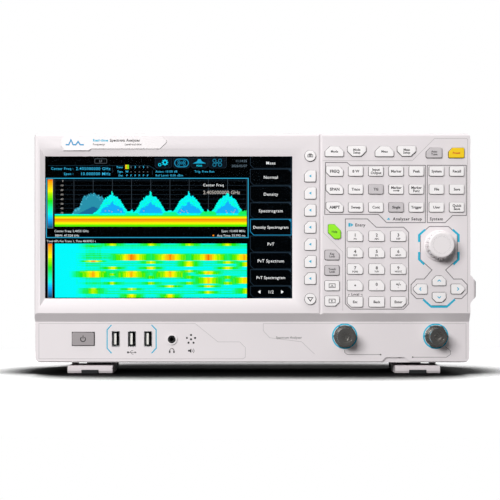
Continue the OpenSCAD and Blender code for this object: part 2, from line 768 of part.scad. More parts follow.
module fan_grille() {
  intersection() {
    rod_y(fan_x, fan_z, back_y - wall - 1, back_y + 1, fan_w - 6);
    union() {
      for (i = [-6:6]) {
        box([fan_x - fan_w, back_y - wall - 2, fan_z + i * (slot_w + 2.6) - slot_w / 2],
          [fan_x + fan_w, back_y + 2, fan_z + i * (slot_w + 2.6) + slot_w / 2]);
      }
    }
  }
}

// Cooling slots in both sides, and a field of them in the back
module cover_slots() {
  for (i = [0:9], x = [left_x, right_x]) {
    y = parting_y + 12 + i * slot_pitch;
    translate([x - wall - 1, 0, 0]) rotate([90, 0, 90]) linear_extrude(2 * wall + 2)
      polygon(round_box([y, low_z + 62], [y + slot_w, top_z - 60], slot_w / 2 - 0.05));
  }
  for (i = [0:13]) {
    x = left_x + 42 + i * slot_pitch;
    plate(back_y - wall - 1, back_y + 1)
      polygon(round_box([x, fan_z - 26], [x + slot_w, fan_z + 26], slot_w / 2 - 0.05));
  }
}

module rear_cover() {
  color("#E6E1E2") difference() {
    union() {
      difference() {
        cover_solid(0);
        cover_solid(wall, 1);
      }
      // pocket for the handle, with a guide for each arm
      box([pocket_x[0] - wall, pocket_y[0] - wall, pocket_z - wall],
        [pocket_x[1] + wall, pocket_y[1] + wall, top_z - wall + tiny]);
      for (x = arm_x) {
        box([x - arm_w / 2 - handle_gap - wall, arm_mid - arm_t / 2 - handle_gap - wall, guide_low],
          [x + arm_w / 2 + handle_gap + wall, arm_mid + arm_t / 2 + handle_gap + wall, pocket_z]);
      }
      for (x = well_x, z = well_z) rod_y(x, z, chassis_back, back_y - 1, well_d);
      // skirt around the connector plate
      plate(panel_y + sheet_t, back_y - tiny)
        polygon(round_box([plate_x[0] + 4 - wall, plate_z[0] + 4 - wall],
          [plate_x[1] - 4 + wall, plate_z[1] - 4 + wall], 4));
      // lugs for the legs
      for (s = [-1, 1], e = [-1, 1]) leg_lug(leg_x(s), e);
    }
    box([pocket_x[0], pocket_y[0], pocket_z], [pocket_x[1], pocket_y[1], top_z + 1]);
    for (x = arm_x) {
      box([x - arm_w / 2 - handle_gap, arm_mid - arm_t / 2 - handle_gap, guide_low - 1],
        [x + arm_w / 2 + handle_gap, arm_mid + arm_t / 2 + handle_gap, pocket_z + 1]);
    }
    for (x = well_x, z = well_z) {
      rod_y(x, z, screw_seat_y, back_y + 1, well_bore);
      rod_y(x, z, chassis_back - 1, screw_seat_y + 1, screw_d + 0.4);
    }
    plate(panel_y, back_y + 1)
      polygon(round_box([plate_x[0] + 4, plate_z[0] + 4], [plate_x[1] - 4, plate_z[1] - 4], 3));
    fan_grille();
    cover_slots();
    for (s = [-1, 1]) {
      rod_x(pin_y, pin_z, leg_x(s) - leg_w, leg_x(s) + leg_w, pin_d);
    }
  }
}

module carry_handle() {
  color("#4A4E52") {
    bar(handle_x[0], handle_x[1]) polygon(round_box([grip_y[0], grip_low], [grip_y[1], grip_top], 3));
    for (x = arm_x) translate([x, arm_mid, 0]) {
      box([-arm_w / 2, -arm_t / 2, arm_low], [arm_w / 2, arm_t / 2, grip_low + 3]);
      box([-arm_w / 2 - stop_out, -arm_t / 2 - stop_out, arm_low],
        [arm_w / 2 + stop_out, arm_t / 2 + stop_out, arm_low + stop_t]);
    }
  }
}

// Legs and feet ---------------------------------------------------------------------------------

leg_tip_y = strip_y + 2.5;
pin_y = leg_tip_y + leg_l;
pin_z = leg_clear + leg_t / 2;
knuckle_w = leg_w - 2 * (lug_t + leg_gap);
function leg_x(s) = s < 0 ? left_x + 50.6 : right_x - 47.5;

// Lug that holds one end of a leg's pin, under the cover
module leg_lug(x, e) {
  x0 = x + e * (knuckle_w / 2 + leg_gap + lug_t / 2);
  z1 = low_z + 1;
  bar(x0 - lug_t / 2, x0 + lug_t / 2)
    polygon(concat([[pin_y + 6.5, z1], [pin_y - 4.6, z1], [pin_y - 3.6, pin_z + 1]],
      arc(pin_y, pin_z, leg_t / 2 - 0.1, 190, 350)));
}

// Leg with a knuckle around its pin; it lies flat under the case when folded
module leg(x) {
  z0 = leg_clear;
  z1 = leg_clear + leg_t;
  y_wide = pin_y - leg_t / 2 - 2.6;
  pad_x = pad_size[0] / 2 + 0.02;
  color("#DDD8D9") difference() {
    union() {
      bar(x - leg_w / 2, x + leg_w / 2) polygon([[leg_tip_y, z0 + 2.2], [leg_tip_y + 1.2, z0],
        [y_wide, z0], [y_wide, z1 - 0.4], [leg_tip_y + 2.6, z1 - 0.4], [leg_tip_y, z0 + 4.8]]);
      bar(x - knuckle_w / 2, x + knuckle_w / 2)
        polygon(concat([[y_wide - 1, z0]], arc(pin_y, pin_z, leg_t / 2, 270, 450), [[y_wide - 1, z1]]));
    }
    rod_x(pin_y, pin_z, x - leg_w, x + leg_w, pin_d + 2 * pin_fit);
    box([x - pad_x, leg_tip_y - 1, z0 - 1], [x + pad_x, leg_tip_y + pad_size[1], pad_h]);
  }
}

module leg_pad(x) {
  w = pad_size[0] / 2;
  color("#26292C") bar(x - w, x + w) polygon([[leg_tip_y - 0.6, 0.8], [leg_tip_y + 0.2, 0],
    [leg_tip_y + pad_size[1], 0], [leg_tip_y + pad_size[1], pad_h], [leg_tip_y - 0.6, pad_h]]);
}

module left_foot() { leg(leg_x(-1)); }

module right_foot() { leg(leg_x(1)); }

module left_foot_pad() { leg_pad(leg_x(-1)); }

module right_foot_pad() { leg_pad(leg_x(1)); }

module foot_pins() {
  color("#B4B7BA") {
    for (s = [-1, 1]) {
      half = knuckle_w / 2 + leg_gap + lug_t;
      rod_x(pin_y, pin_z, leg_x(s) - half, leg_x(s) + half, pin_d);
    }
  }
}

// Two feet under the back and a bumper on each rear corner
module rear_feet() {
  y1 = back_y - rear_cut - 2;
  color("#2A2D30") {
    for (x = [leg_x(-1), leg_x(1)]) {
      translate([x, 0, 0]) bar(-rear_foot[0] / 2, rear_foot[0] / 2) polygon([[y1 - rear_foot[1] + 1.5, 0],
        [y1 - 1.5, 0], [y1, 1.5], [y1, low_z], [y1 - rear_foot[1], low_z], [y1 - rear_foot[1], 1.5]]);
    }
    for (x = well_x, z = [well_z[0] + 14, well_z[1] - 14]) {
      translate([x + (x < 0 ? 6 : -6), 0, z]) plate(back_y, back_y + bumper_out)
        polygon(round_box([-bumper_w / 4, -bumper_w / 4], [bumper_w / 4, bumper_w / 4], 2));
    }
  }
}

module case_screws() {
  color("#8E9296") {
    for (x = well_x, z = well_z) {
      rod_y(x, z, screw_seat_y, screw_seat_y + 2.4, 5.6);
      rod_y(x, z, chassis_y, screw_seat_y + tiny, screw_d);
    }
  }
}

// Chassis and what it carries -------------------------------------------------------------------

shelf_z = low_z + wall + 1.5;
main_board_y = chassis_back + 8;
fan_front = back_y - wall - fan_d;
inlet_depth = 24;                           // length of the mains inlet behind the plate
psu = [90, 54, 44];
psu_x = left_x + 24;
psu_y = panel_y - inlet_depth - 1 - psu[1];
rf_box = [64, 22, 84];
rf_x = [n_places[0][0] - rf_box[0] / 2, n_places[1][0] - rf_box[0] / 2 - 8];
rf_z = shelf_z + sheet_t + 74;

module chassis_tray() {
  color("#B9BCBF") difference() {
    union() {
      box([left_x + 5, chassis_y, shelf_z], [right_x - 5, chassis_back, top_z - 4.2]);
      box([left_x + 24, chassis_y, shelf_z], [right_x - 24, panel_y, shelf_z + sheet_t]);
      for (x = [left_x + 40, -20, right_x - 60], z = [rf_z - 8, rf_z + 76]) {
        rod_y(x, z, chassis_back - tiny, main_board_y, 6);
      }
    }
    for (x = well_x, z = well_z) rod_y(x, z, chassis_y - 1, chassis_back + 1, screw_d);
    // windows for the ports and cables behind the connector strip
    box([power_x - 18, chassis_y - 1, port_z - 13], [sound_pos[0] + 12, chassis_back + 1, port_z + 13]);
    for (p = n_places) rod_y(p[0], p[1], chassis_y - 1, chassis_back + 1, 14);
  }
}

module main_board() {
  color("#1E6B45")
    box([left_x + 30, main_board_y, rf_z - 14], [right_x - 50, main_board_y + board_t, rf_z + 82]);
  color("#3A3D42") {
    for (p = [[left_x + 90, rf_z + 20, 32], [left_x + 150, rf_z + 44, 24], [left_x + 146, rf_z + 6, 18]]) {
      translate([p[0], 0, p[1]]) plate(main_board_y + board_t - tiny, main_board_y + board_t + 3)
        square(p[2], center = true);
    }
  }
}

// Two screened boxes with ribbed lids
module rf_modules() {
  y0 = main_board_y + board_t;
  color("#A7ABAE") {
    for (x = rf_x) {
      box([x, y0, rf_z], [x + rf_box[0], y0 + rf_box[1] - 2, rf_z + rf_box[2] - 12]);
      for (i = [0:7]) {
        box([x + 4 + i * 7.4, y0 + rf_box[1] - 2.1, rf_z + 4], [x + 7 + i * 7.4, y0 + rf_box[1] + 4,
          rf_z + rf_box[2] - 16]);
      }
    }
  }
}

module power_supply() {
  z0 = shelf_z + sheet_t;
  color("#9EA2A5") difference() {
    box([psu_x, psu_y, z0], [psu_x + psu[0], psu_y + psu[1], z0 + psu[2]]);
    for (i = [0:8]) {
      box([psu_x + 8 + i * 8.6, psu_y - 1, z0 + 8], [psu_x + 11 + i * 8.6, psu_y + 2, z0 + psu[2] - 8]);
    }
  }
}

module fan_frame() {
  w = fan_w / 2;
  y1 = back_y - wall;
  color("#2E3134") difference() {
    union() {
      difference() {
        translate([fan_x, 0, fan_z]) plate(fan_front, y1) polygon(round_box([-w, -w], [w, w], 4));
        rod_y(fan_x, fan_z, fan_front - 1, y1 + 1, fan_w - 5);
      }
      // hub on four struts at the back
      rod_y(fan_x, fan_z, y1 - 6, y1 - 1, 26);
      for (a = [45:90:359]) {
        translate([fan_x, 0, fan_z]) rotate([0, a, 0]) box([10, y1 - 4, -1.5], [w - 1, y1 - 1, 1.5]);
      }
    }
    rod_y(fan_x, fan_z, y1 - 7, y1 - 2, 3 + 2 * fan_fit);
    for (sx = [-1, 1], sz = [-1, 1]) {
      rod_y(fan_x + sx * (w - 4.5), fan_z + sz * (w - 4.5), fan_front - 1, y1 + 1, 4.2);
    }
  }
}

// Fan wheel: a hub with slanted blades, turning on its own shaft
module fan_rotor() {
  y1 = back_y - wall;
  hub_d = 27;
  blade_r = fan_w / 2 - 3.6;
  color("#3A3E42") {
    rod_y(fan_x, fan_z, fan_front + 1.5, y1 - 6.4, hub_d);
    rod_y(fan_x, fan_z, y1 - 6.5, y1 - 2.4, 3);
    for (i = [0:fan_blades - 1]) {
      translate([fan_x, (fan_front + y1) / 2 - 2.4, fan_z]) rotate([0, 360 * i / fan_blades, 0])
        rotate([35, 0, 0]) translate([hub_d / 2 - 1.5, -1, -7]) cube([blade_r - hub_d / 2, 2, 13]);
    }
  }
}

// Semi-rigid leads: each runs back from its socket to an elbow, and up to a screened box
module rf_cables() {
  d = 3.6;
  elbow = 7;
  y0 = strip_inside + n_body_l;
  y1 = main_board_y + board_t + rf_box[1] / 2;
  color("#C29A55") {
    for (p = n_places) {
      rod_y(p[0], p[1], y0, y1, d);
      translate([p[0] - elbow / 2, y1 - elbow / 2, p[1] - elbow / 2]) cube(elbow);
      translate([p[0], y1, p[1]]) cylinder(d = d, h = rf_z - p[1], $fn = 24);
    }
  }
}

// Back panel connectors -------------------------------------------------------------------------

bnc_x = [for (i = [0:4]) (left_x + right_x) / 2 + i * 24];
bnc_z = plate_z[0] + 36;
bnc_d = 9.6;
lan_pos = [plate_x[0] + 128, plate_z[0] + 32];
lan_size = [12, 8.4];
video_pos = [plate_x[0] + 128, plate_z[0] + 14];
usb_b_pos = [plate_x[0] + 152, plate_z[0] + 31];
inlet_pos = [plate_x[0] + 48, plate_z[0] + 31];
inlet_size = [48, 28];
inlet_cavity = [25, 17];

// Rectangular cut of the given size through the connector plate
module plate_cut(place, size) {
  translate([place[0], 0, place[1]]) plate(panel_y - 1, panel_y + 3) square(size, center = true);
}

module rear_panel() {
  color("#C3C6C8") difference() {
    plate(panel_y, panel_y + sheet_t)
      polygon(round_box([plate_x[0], plate_z[0]], [plate_x[1], plate_z[1]], 2));
    for (x = bnc_x) rod_y(x, bnc_z, panel_y - 1, panel_y + 3, bnc_d + 0.3);
    plate_cut(lan_pos, [16.6, 14]);
    plate_cut(video_pos, [16, 6.4]);
    plate_cut(usb_b_pos, [12.6, 11.6]);
    plate_cut(inlet_pos, inlet_size);
    // lock slot, and the vents beside it
    plate_cut([plate_x[1] - 20, plate_z[0] + 30], [7.2, 3.2]);
    for (i = [0:7]) plate_cut([plate_x[1] - 66 + i * 5, plate_z[0] + 30], [2.4, 30]);
  }
}

module bnc_connectors() {
  color("#C9CCCE") {
    for (x = bnc_x) {
      tip = panel_y + sheet_t + 11;
      difference() {
        union() {
          rod_y(x, bnc_z, panel_y - 8, tip, bnc_d);
          rod_y(x, bnc_z, panel_y + sheet_t, panel_y + sheet_t + 2, 14);
          rod_y(x, bnc_z, panel_y - 3, panel_y, 14);
          rod_x(tip - 3, bnc_z, x - 5.6, x + 5.6, 2);
        }
        rod_y(x, bnc_z, tip - 8, tip + 1, 8.1);
      }
      rod_y(x, bnc_z, tip - 8.1, tip - 2, 4.6);
    }
  }
}

// Network, video and square USB sockets
module data_sockets() {
  y1 = panel_y + sheet_t + 0.4;
  color("#AEB1B4") {
    translate([lan_pos[0], 0, lan_pos[1]]) difference() {
      plate(y1 - 18, y1) square([16.2, 13.6], center = true);
      plate(y1 - 13, y1 + 1) square(lan_size, center = true);
    }
    translate([video_pos[0], 0, video_pos[1]]) {
      difference() {
        plate(y1 - 13, y1) square([15.6, 6], center = true);
        plate(y1 - 11, y1 + 1) square([14.4, 4.8], center = true);
      }
      plate(y1 - 11.1, y1 - 2) square([11.6, 1], center = true);
    }
    translate([usb_b_pos[0], 0, usb_b_pos[1]]) {
      difference() {
        plate(y1 - 16, y1) square([12.2, 11.2], center = true);
        plate(y1 - 14, y1 + 1) square([8.6, 7.8], center = true);
      }
      plate(y1 - 14.1, y1 - 3) square([5.6, 3.2], center = true);
    }
  }
}

// Mains inlet with three blades and a fuse drawer beside it
module mains_inlet() {
  y0 = panel_y + sheet_t;
  color("#26282B") translate([inlet_pos[0], 0, inlet_pos[1]]) difference() {
    union() {
      plate(y0 - inlet_depth, y0) square(inlet_size - [0.4, 0.4], center = true);
      plate(y0, y0 + 2) polygon(round_box(-inlet_size / 2 - [2, 2], inlet_size / 2 + [2, 2], 2));
    }
    translate([8, 0, 0]) plate(y0 - 16, y0 + 3) square(inlet_cavity, center = true);
    translate([-15, 0, 0]) plate(y0 + 1, y0 + 3) square([9, 20], center = true);
  }
  color("#B8BABD") {
    for (p = [[-7, -2], [0, 3], [7, -2]]) {
      translate([inlet_pos[0] + 8 + p[0], 0, inlet_pos[1] + p[1]])
        plate(y0 - 17, y0 - 1) square([2, 4], center = true);
    }
  }
}

module power_button() { color("#B8B4B4") keys_named("power_button"); }
module capture_key() { color("#F8F6F6") keys_named("capture_key"); }
module page_key() { color("#F8F6F6") keys_named("page_key"); }
module softkey(i) { color("#F8F6F6") keys_named(str("softkey_", i)); }
module up_key() { color("#F8F6F6") keys_named("up_key"); }
module down_key() { color("#F8F6F6") keys_named("down_key"); }
module left_key() { color("#F8F6F6") keys_named("left_key"); }
module right_key() { color("#F8F6F6") keys_named("right_key"); }
module help_key() { color("#83CC3D") keys_named("help_key"); }
module preset_key() { color("#FFC814") keys_named("preset_key"); }
module auto_tune_key() { color("#B8B4B4") keys_named("auto_tune_key"); }
module mode_keys() { color("#F8F6F6") keys_named("mode_keys"); }
module meas_keys() { color("#F8F6F6") keys_named("meas_keys"); }
module band_keys() { color("#F8F6F6") keys_named("band_keys"); }
module setup_keys() { color("#F8F6F6") keys_named("setup_keys"); }
module backlit_keys() { color("#B8B4B4") keys_named("backlit_keys"); }
module system_keys() { color("#F8F6F6") keys_named("system_keys"); }
module lock_keys() { color("#B8B4B4") keys_named("lock_keys"); }
module screen_keys() { color("#F8F6F6") keys_named("screen_keys"); }
module digit_keys() { color("#F8F6F6") keys_named("digit_keys"); }
module entry_keys() { color("#F8F6F6") keys_named("entry_keys"); }

front_bezel();
badge_plate();
display_glass();
lcd_module();
rear_cover();
rear_panel();
chassis_tray();
main_board();
rf_modules();
power_supply();
fan_frame();
fan_rotor();
key_board();
key_mat();
encoder();
knob();
rf_input_connector();
generator_output_connector();
usb_sockets();
headphone_jack();
speaker();
bnc_connectors();
data_sockets();
mains_inlet();
rear_feet();
case_screws();
rf_cables();
foot_pins();
left_foot();
right_foot();
left_foot_pad();
right_foot_pad();
carry_handle();
power_button();
capture_key();
page_key();
softkey(1);  // softkey_1
softkey(2);  // softkey_2
softkey(3);  // softkey_3
softkey(4);  // softkey_4
softkey(5);  // softkey_5
softkey(6);  // softkey_6
softkey(7);  // softkey_7
up_key();
down_key();
left_key();
right_key();
help_key();
preset_key();
auto_tune_key();
mode_keys();
meas_keys();
band_keys();
setup_keys();
backlit_keys();
system_keys();
lock_keys();
screen_keys();
digit_keys();
entry_keys();
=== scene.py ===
import math
import random

import bmesh
import bpy
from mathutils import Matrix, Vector


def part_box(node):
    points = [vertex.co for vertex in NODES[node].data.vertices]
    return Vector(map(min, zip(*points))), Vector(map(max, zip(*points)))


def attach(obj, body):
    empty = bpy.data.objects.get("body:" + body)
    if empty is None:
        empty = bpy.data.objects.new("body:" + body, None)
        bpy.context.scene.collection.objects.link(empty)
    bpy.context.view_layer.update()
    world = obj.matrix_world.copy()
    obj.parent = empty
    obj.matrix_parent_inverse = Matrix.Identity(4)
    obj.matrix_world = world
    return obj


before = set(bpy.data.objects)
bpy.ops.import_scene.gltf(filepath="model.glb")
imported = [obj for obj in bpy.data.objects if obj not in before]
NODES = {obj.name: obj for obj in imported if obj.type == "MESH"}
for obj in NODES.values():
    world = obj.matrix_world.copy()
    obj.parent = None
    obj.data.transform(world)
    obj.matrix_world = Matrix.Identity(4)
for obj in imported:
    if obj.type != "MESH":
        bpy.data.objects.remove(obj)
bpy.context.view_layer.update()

MM = 0.001

# Reference faces of the case, in metres
bezel_low, bezel_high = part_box("front_bezel")
FACE_Y = bezel_low.y                       # face of the display half and the key panel
JACK_LIP = 0.9 * MM                        # how far the headphone jack stands out of the strip
STRIP_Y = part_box("headphone_jack")[0].y + JACK_LIP     # face of the connector strip
LEFT = bezel_low.x
TOP = bezel_high.z
PRINT = 0.04 * MM                          # how far a print stands out of its surface
PRINT_ROOT = 0.03 * MM                     # how far it reaches into it


# Camera and stage ---------------------------------------------------------------------------------

def make_camera():
    """Level camera on a long lens, low over the desk, straight in front of the instrument."""
    data = bpy.data.cameras.new("camera")
    camera = bpy.data.objects.new("camera", data)
    bpy.context.scene.collection.objects.link(camera)
    bpy.context.scene.camera = camera
    distance = 1.0
    view_width = 0.4634                    # what the picture spans at the face
    eye_height = 0.074
    data.sensor_width = 36                 # full-frame, in millimetres
    data.lens = data.sensor_width * distance / view_width
    camera.location = (-0.002, FACE_Y - distance, eye_height)
    camera.rotation_euler = (math.radians(90), 0, 0)
    data.shift_x = -0.006
    data.shift_y = 0.09                    # raised front, which keeps upright edges upright
    data.clip_start = 0.01
    data.clip_end = 50


make_camera()


def linear(code, alpha=1.0):
    """sRGB hex colour as linear red, green, blue and alpha."""
    parts = [int(code[i:i + 2], 16) / 255 for i in (1, 3, 5)]
    lin = [c / 12.92 if c <= 0.04045 else ((c + 0.055) / 1.055) ** 2.4 for c in parts]
    return (*lin, alpha)


def add(tree, kind, settings=None, inputs=None):
    """Adds one shader node; inputs maps a socket's name or number to a value or a node's output."""
    made = tree.nodes.new("ShaderNode" + kind)
    for key, value in (settings or {}).items():
        setattr(made, key, value)
    for key, value in (inputs or {}).items():
        socket = made.inputs[key]
        if isinstance(value, bpy.types.NodeSocket):
            tree.links.new(value, socket)
        else:
            socket.default_value = value
    return made


def new_tree(name):
    """New material with an empty node tree."""
    material = bpy.data.materials.new(name)
    material.use_nodes = True
    tree = material.node_tree
    tree.nodes.clear()
    return material, tree


ROOM_LEVEL = 0.3                           # how bright the room is apart from the softboxes


def make_world():
    """Dim room with a pale ceiling for the reflections, and plain white for the camera."""
    world = bpy.data.worlds.new("studio")
    bpy.context.scene.world = world
    world.use_nodes = True
    tree = world.node_tree
    tree.nodes.clear()
    rays = add(tree, "LightPath")
    seen = add(tree, "Math", {"operation": "MAXIMUM"},
               {0: rays.outputs["Is Camera Ray"], 1: rays.outputs["Is Transmission Ray"]})
    # the room: pale ceiling, dim walls, so that metal shows dark and bright bands
    way = add(tree, "SeparateXYZ", inputs={"Vector": add(tree, "TexCoord").outputs["Generated"]})
    height = add(tree, "MapRange", {"interpolation_type": "SMOOTHSTEP"},
                 {"Value": way.outputs["Z"], "From Min": -0.1, "From Max": 0.6})
    room = add(tree, "MixRGB", inputs={0: height.outputs[0], 1: linear("#5A5C60"), 2: (1, 1, 1, 1)})
    soft = add(tree, "Background", inputs={"Color": room.outputs[0], "Strength": ROOM_LEVEL})
    white = add(tree, "Background", inputs={"Color": (1, 1, 1, 1), "Strength": 1.0})
    both = add(tree, "MixShader", inputs={0: seen.outputs[0], 1: soft.outputs[0], 2: white.outputs[0]})
    add(tree, "OutputWorld", inputs={"Surface": both.outputs[0]})


def make_floor():
    """White paper sweep: it keeps the lamps' shadow near the case, deepened by a painted contact shadow,
    and runs out into plain white.
    """
    material, tree = new_tree("paper_sweep")
    rays = add(tree, "LightPath")
    away = add(tree, "VectorMath", {"operation": "LENGTH"}, {0: add(tree, "Mapping", inputs={
        "Vector": add(tree, "TexCoord").outputs["Object"], "Scale": (0.75, 1, 1)}).outputs[0]})
    fade = add(tree, "MapRange", {"interpolation_type": "SMOOTHSTEP"},
               {"Value": away.outputs["Value"], "From Min": 0.24, "From Max": 0.5})
    plain = add(tree, "Math", {"operation": "MULTIPLY"},
                {0: fade.outputs[0], 1: rays.outputs["Is Camera Ray"]})
    # fibre is drawn as blotches of about 17 mm, since the real one is too fine to show
    fibre = add(tree, "TexNoise", inputs={"Scale": 60.0, "Detail": 3.0})
    tone = add(tree, "MixRGB", inputs={0: fibre.outputs["Fac"], 1: linear("#F4F4F4"),
                                       2: linear("#FAFAFA")})
    # painted contact shadow: the paper is coloured near black where the case stands close over it, by
    # ambient occlusion; to other rays it is dark grey, so it throws little light back up
    contact_shadow_ao = add(tree, "AmbientOcclusion", {"samples": 16}, {"Distance": 0.14})
    open_air = add(tree, "MapRange", {"interpolation_type": "SMOOTHSTEP"},
                   {"Value": contact_shadow_ao.outputs["AO"], "From Min": 0.60, "From Max": 0.97})
    near = add(tree, "MixRGB", inputs={0: open_air.outputs[0], 1: linear("#040506"), 2: tone.outputs[0]})
    colour = add(tree, "MixRGB", inputs={0: rays.outputs["Is Camera Ray"], 1: linear("#4A4A4A"),
                                         2: near.outputs[0]})
    paper = add(tree, "BsdfPrincipled", inputs={"Base Color": colour.outputs[0], "Roughness": 0.9,
                                                "Specular IOR Level": 0.1})
    # for the camera the paper also glows outside the painted contact shadow, which lifts it to white round
    # that shadow
    seen = add(tree, "Math", {"operation": "MULTIPLY"},
               {0: open_air.outputs[0], 1: rays.outputs["Is Camera Ray"]})
    lift = add(tree, "Emission", inputs={"Color": (0.62, 0.62, 0.62, 1), "Strength": 1.0})
    none = add(tree, "Emission", inputs={"Color": (0, 0, 0, 1), "Strength": 0.0})
    glow = add(tree, "MixShader", inputs={0: seen.outputs[0], 1: none.outputs[0], 2: lift.outputs[0]})
    lit = add(tree, "AddShader", inputs={0: paper.outputs[0], 1: glow.outputs[0]})
    white = add(tree, "Emission", inputs={"Color": (1, 1, 1, 1), "Strength": 1.0})
    mix = add(tree, "MixShader", inputs={0: plain.outputs[0], 1: lit.outputs[0], 2: white.outputs[0]})
    add(tree, "OutputMaterial", inputs={"Surface": mix.outputs[0]})
    mesh = bpy.data.meshes.new("floor")
    half = 6.0
    mesh.from_pydata([(-half, -half, 0), (half, -half, 0), (half, half, 0), (-half, half, 0)], [],
                     [(0, 1, 2, 3)])
    floor = bpy.data.objects.new("floor", mesh)
    bpy.context.scene.collection.objects.link(floor)
    mesh.materials.append(material)


def make_lamp(name, place, target, size, watts):
    """Rectangular softbox that faces its target."""
    data = bpy.data.lights.new(name, "AREA")
    data.shape = "RECTANGLE"
    data.size, data.size_y = size
    data.energy = watts
    lamp = bpy.data.objects.new(name, data)
    bpy.context.scene.collection.objects.link(lamp)
    lamp.location = place
    lamp.rotation_euler = (Vector(target) - Vector(place)).to_track_quat("-Z", "Y").to_euler()


make_world()
make_floor()
# Each softbox: place, target, width and height in metres, and watts
make_lamp("overhead_softbox", (-0.1, -0.2, 1.9), (0, 0, 0.1), (1.3, 0.7), 14)
make_lamp("front_softbox", (-0.75, -1.7, 0.84), (0, 0, 0.14), (1.1, 0.6), 36)
make_lamp("rear_softbox", (0.9, 2.4, 1.2), (0, 0, 0.12), (1.8, 1.2), 22)
bpy.context.scene.view_settings.view_transform = "Standard"


# Materials ----------------------------------------------------------------------------------------

MATERIALS = {}
TOOL_DRIFT_MM = 45                         # how far apart a moulding's paler and darker clouds are


def finish_material(name, material, tree, surface):
    """Joins the surface to the output and keeps the material under its name."""
    add(tree, "OutputMaterial", inputs={"Surface": surface})
    MATERIALS[name] = material


def metre_space(tree, size_mm):
    """Object coordinates, and the scale that gives a pattern of that size in millimetres."""
    return add(tree, "TexCoord").outputs["Object"], 1000.0 / size_mm


def moulded(name, code, grit_mm=0.5, relief=0.06, rough=0.5, drift=0.035, specular=0.4, edge_y=None):
    """Moulded ABS: a faint drift in tone from the tool, spark-eroded grit, and a soft broad sheen.

    A key cap gets a dark line of painted shade along its edge, which starts just behind its front at
    edge_y."""
    material, tree = new_tree(name)
    space, fine = metre_space(tree, grit_mm)
    base = linear(code)
    dark = tuple(c * (1 - drift) for c in base[:3]) + (1,)
    cloud = add(tree, "TexNoise", inputs={"Vector": space, "Scale": 1000.0 / TOOL_DRIFT_MM,
                                             "Detail": 3.0})
    tone = add(tree, "MixRGB", inputs={0: cloud.outputs["Fac"], 1: base, 2: dark})
    # painted shade: the cap's edge, from just behind its front, is coloured near black where the gap
    # beside it lies in shadow
    if edge_y is not None:
        depth = add(tree, "SeparateXYZ", inputs={"Vector": space})
        low = add(tree, "MapRange", inputs={"Value": depth.outputs["Y"], "From Min": edge_y + 0.08 * MM,
                                            "From Max": edge_y + 0.4 * MM})
        painted_edge_shade = tuple(c * 0.2 for c in base[:3]) + (1,)
        tone = add(tree, "MixRGB", inputs={0: low.outputs[0], 1: tone.outputs[0], 2: painted_edge_shade})
    grit = add(tree, "TexNoise", inputs={"Vector": space, "Scale": fine, "Detail": 2.0, "Roughness": 0.6})
    sheen = add(tree, "MapRange", inputs={"Value": grit.outputs["Fac"], "To Min": rough - 0.05,
                                          "To Max": rough + 0.07})
    bump = add(tree, "Bump", inputs={"Height": grit.outputs["Fac"], "Strength": relief,
                                     "Distance": 0.05 * MM})
    shader = add(tree, "BsdfPrincipled", inputs={
        "Base Color": tone.outputs[0], "Roughness": sheen.outputs[0], "Normal": bump.outputs[0],
        "Specular IOR Level": specular, "IOR": 1.52})
    finish_material(name, material, tree, shader.outputs[0])
    return material


def plated(name, code, rough, streak_mm=0.6, axis=(1, 6, 1), edge_y=None):
    """Turned and plated metal: fine lathe streaks across the axis and a mirror-like sheen.

    The inside of a socket, behind edge_y, is painted dark as shade."""
    material, tree = new_tree(name)
    space, fine = metre_space(tree, streak_mm)
    stretch = add(tree, "Mapping", inputs={"Vector": space, "Scale": axis})
    streak = add(tree, "TexNoise", inputs={"Vector": stretch.outputs[0], "Scale": fine, "Detail": 3.0})
    base = linear(code)
    dark = tuple(c * 0.86 for c in base[:3]) + (1,)
    tone = add(tree, "MixRGB", inputs={0: streak.outputs["Fac"], 1: base, 2: dark})
    # painted shade: the inside of the socket, behind edge_y, is coloured near black
    if edge_y is not None:
        depth = add(tree, "SeparateXYZ", inputs={"Vector": space})
        inside = add(tree, "MapRange", inputs={"Value": depth.outputs["Y"], "From Min": edge_y,
                                               "From Max": edge_y + 1.2 * MM})
        painted_bore_shade = tuple(c * 0.12 for c in base[:3]) + (1,)
        tone = add(tree, "MixRGB", inputs={0: inside.outputs[0], 1: tone.outputs[0], 2: painted_bore_shade})
    sheen = add(tree, "MapRange", inputs={"Value": streak.outputs["Fac"], "To Min": rough,
                                          "To Max": rough + 0.14})
    bump = add(tree, "Bump", inputs={"Height": streak.outputs["Fac"], "Strength": 0.05,
                                     "Distance": 0.04 * MM})
    shader = add(tree, "BsdfPrincipled", inputs={"Base Color": tone.outputs[0], "Metallic": 1.0,
                                                 "Roughness": sheen.outputs[0], "Normal": bump.outputs[0]})
    finish_material(name, material, tree, shader.outputs[0])
    return material


def rubber(name, code, rough=0.75):
    """Moulded rubber: near black, dusty on its grain and without a highlight."""
    material, tree = new_tree(name)
    space, fine = metre_space(tree, 0.9)
    grain = add(tree, "TexNoise", inputs={"Vector": space, "Scale": fine, "Detail": 4.0})
    base = linear(code)
    dusty = tuple(min(1.0, c * 1.5 + 0.004) for c in base[:3]) + (1,)
    tone = add(tree, "MixRGB", inputs={0: grain.outputs["Fac"], 1: base, 2: dusty})
    bump = add(tree, "Bump", inputs={"Height": grain.outputs["Fac"], "Strength": 0.15,
                                     "Distance": 0.08 * MM})
    shader = add(tree, "BsdfPrincipled", inputs={"Base Color": tone.outputs[0], "Roughness": rough,
                                                 "Normal": bump.outputs[0], "Specular IOR Level": 0.25})
    finish_material(name, material, tree, shader.outputs[0])
    return material


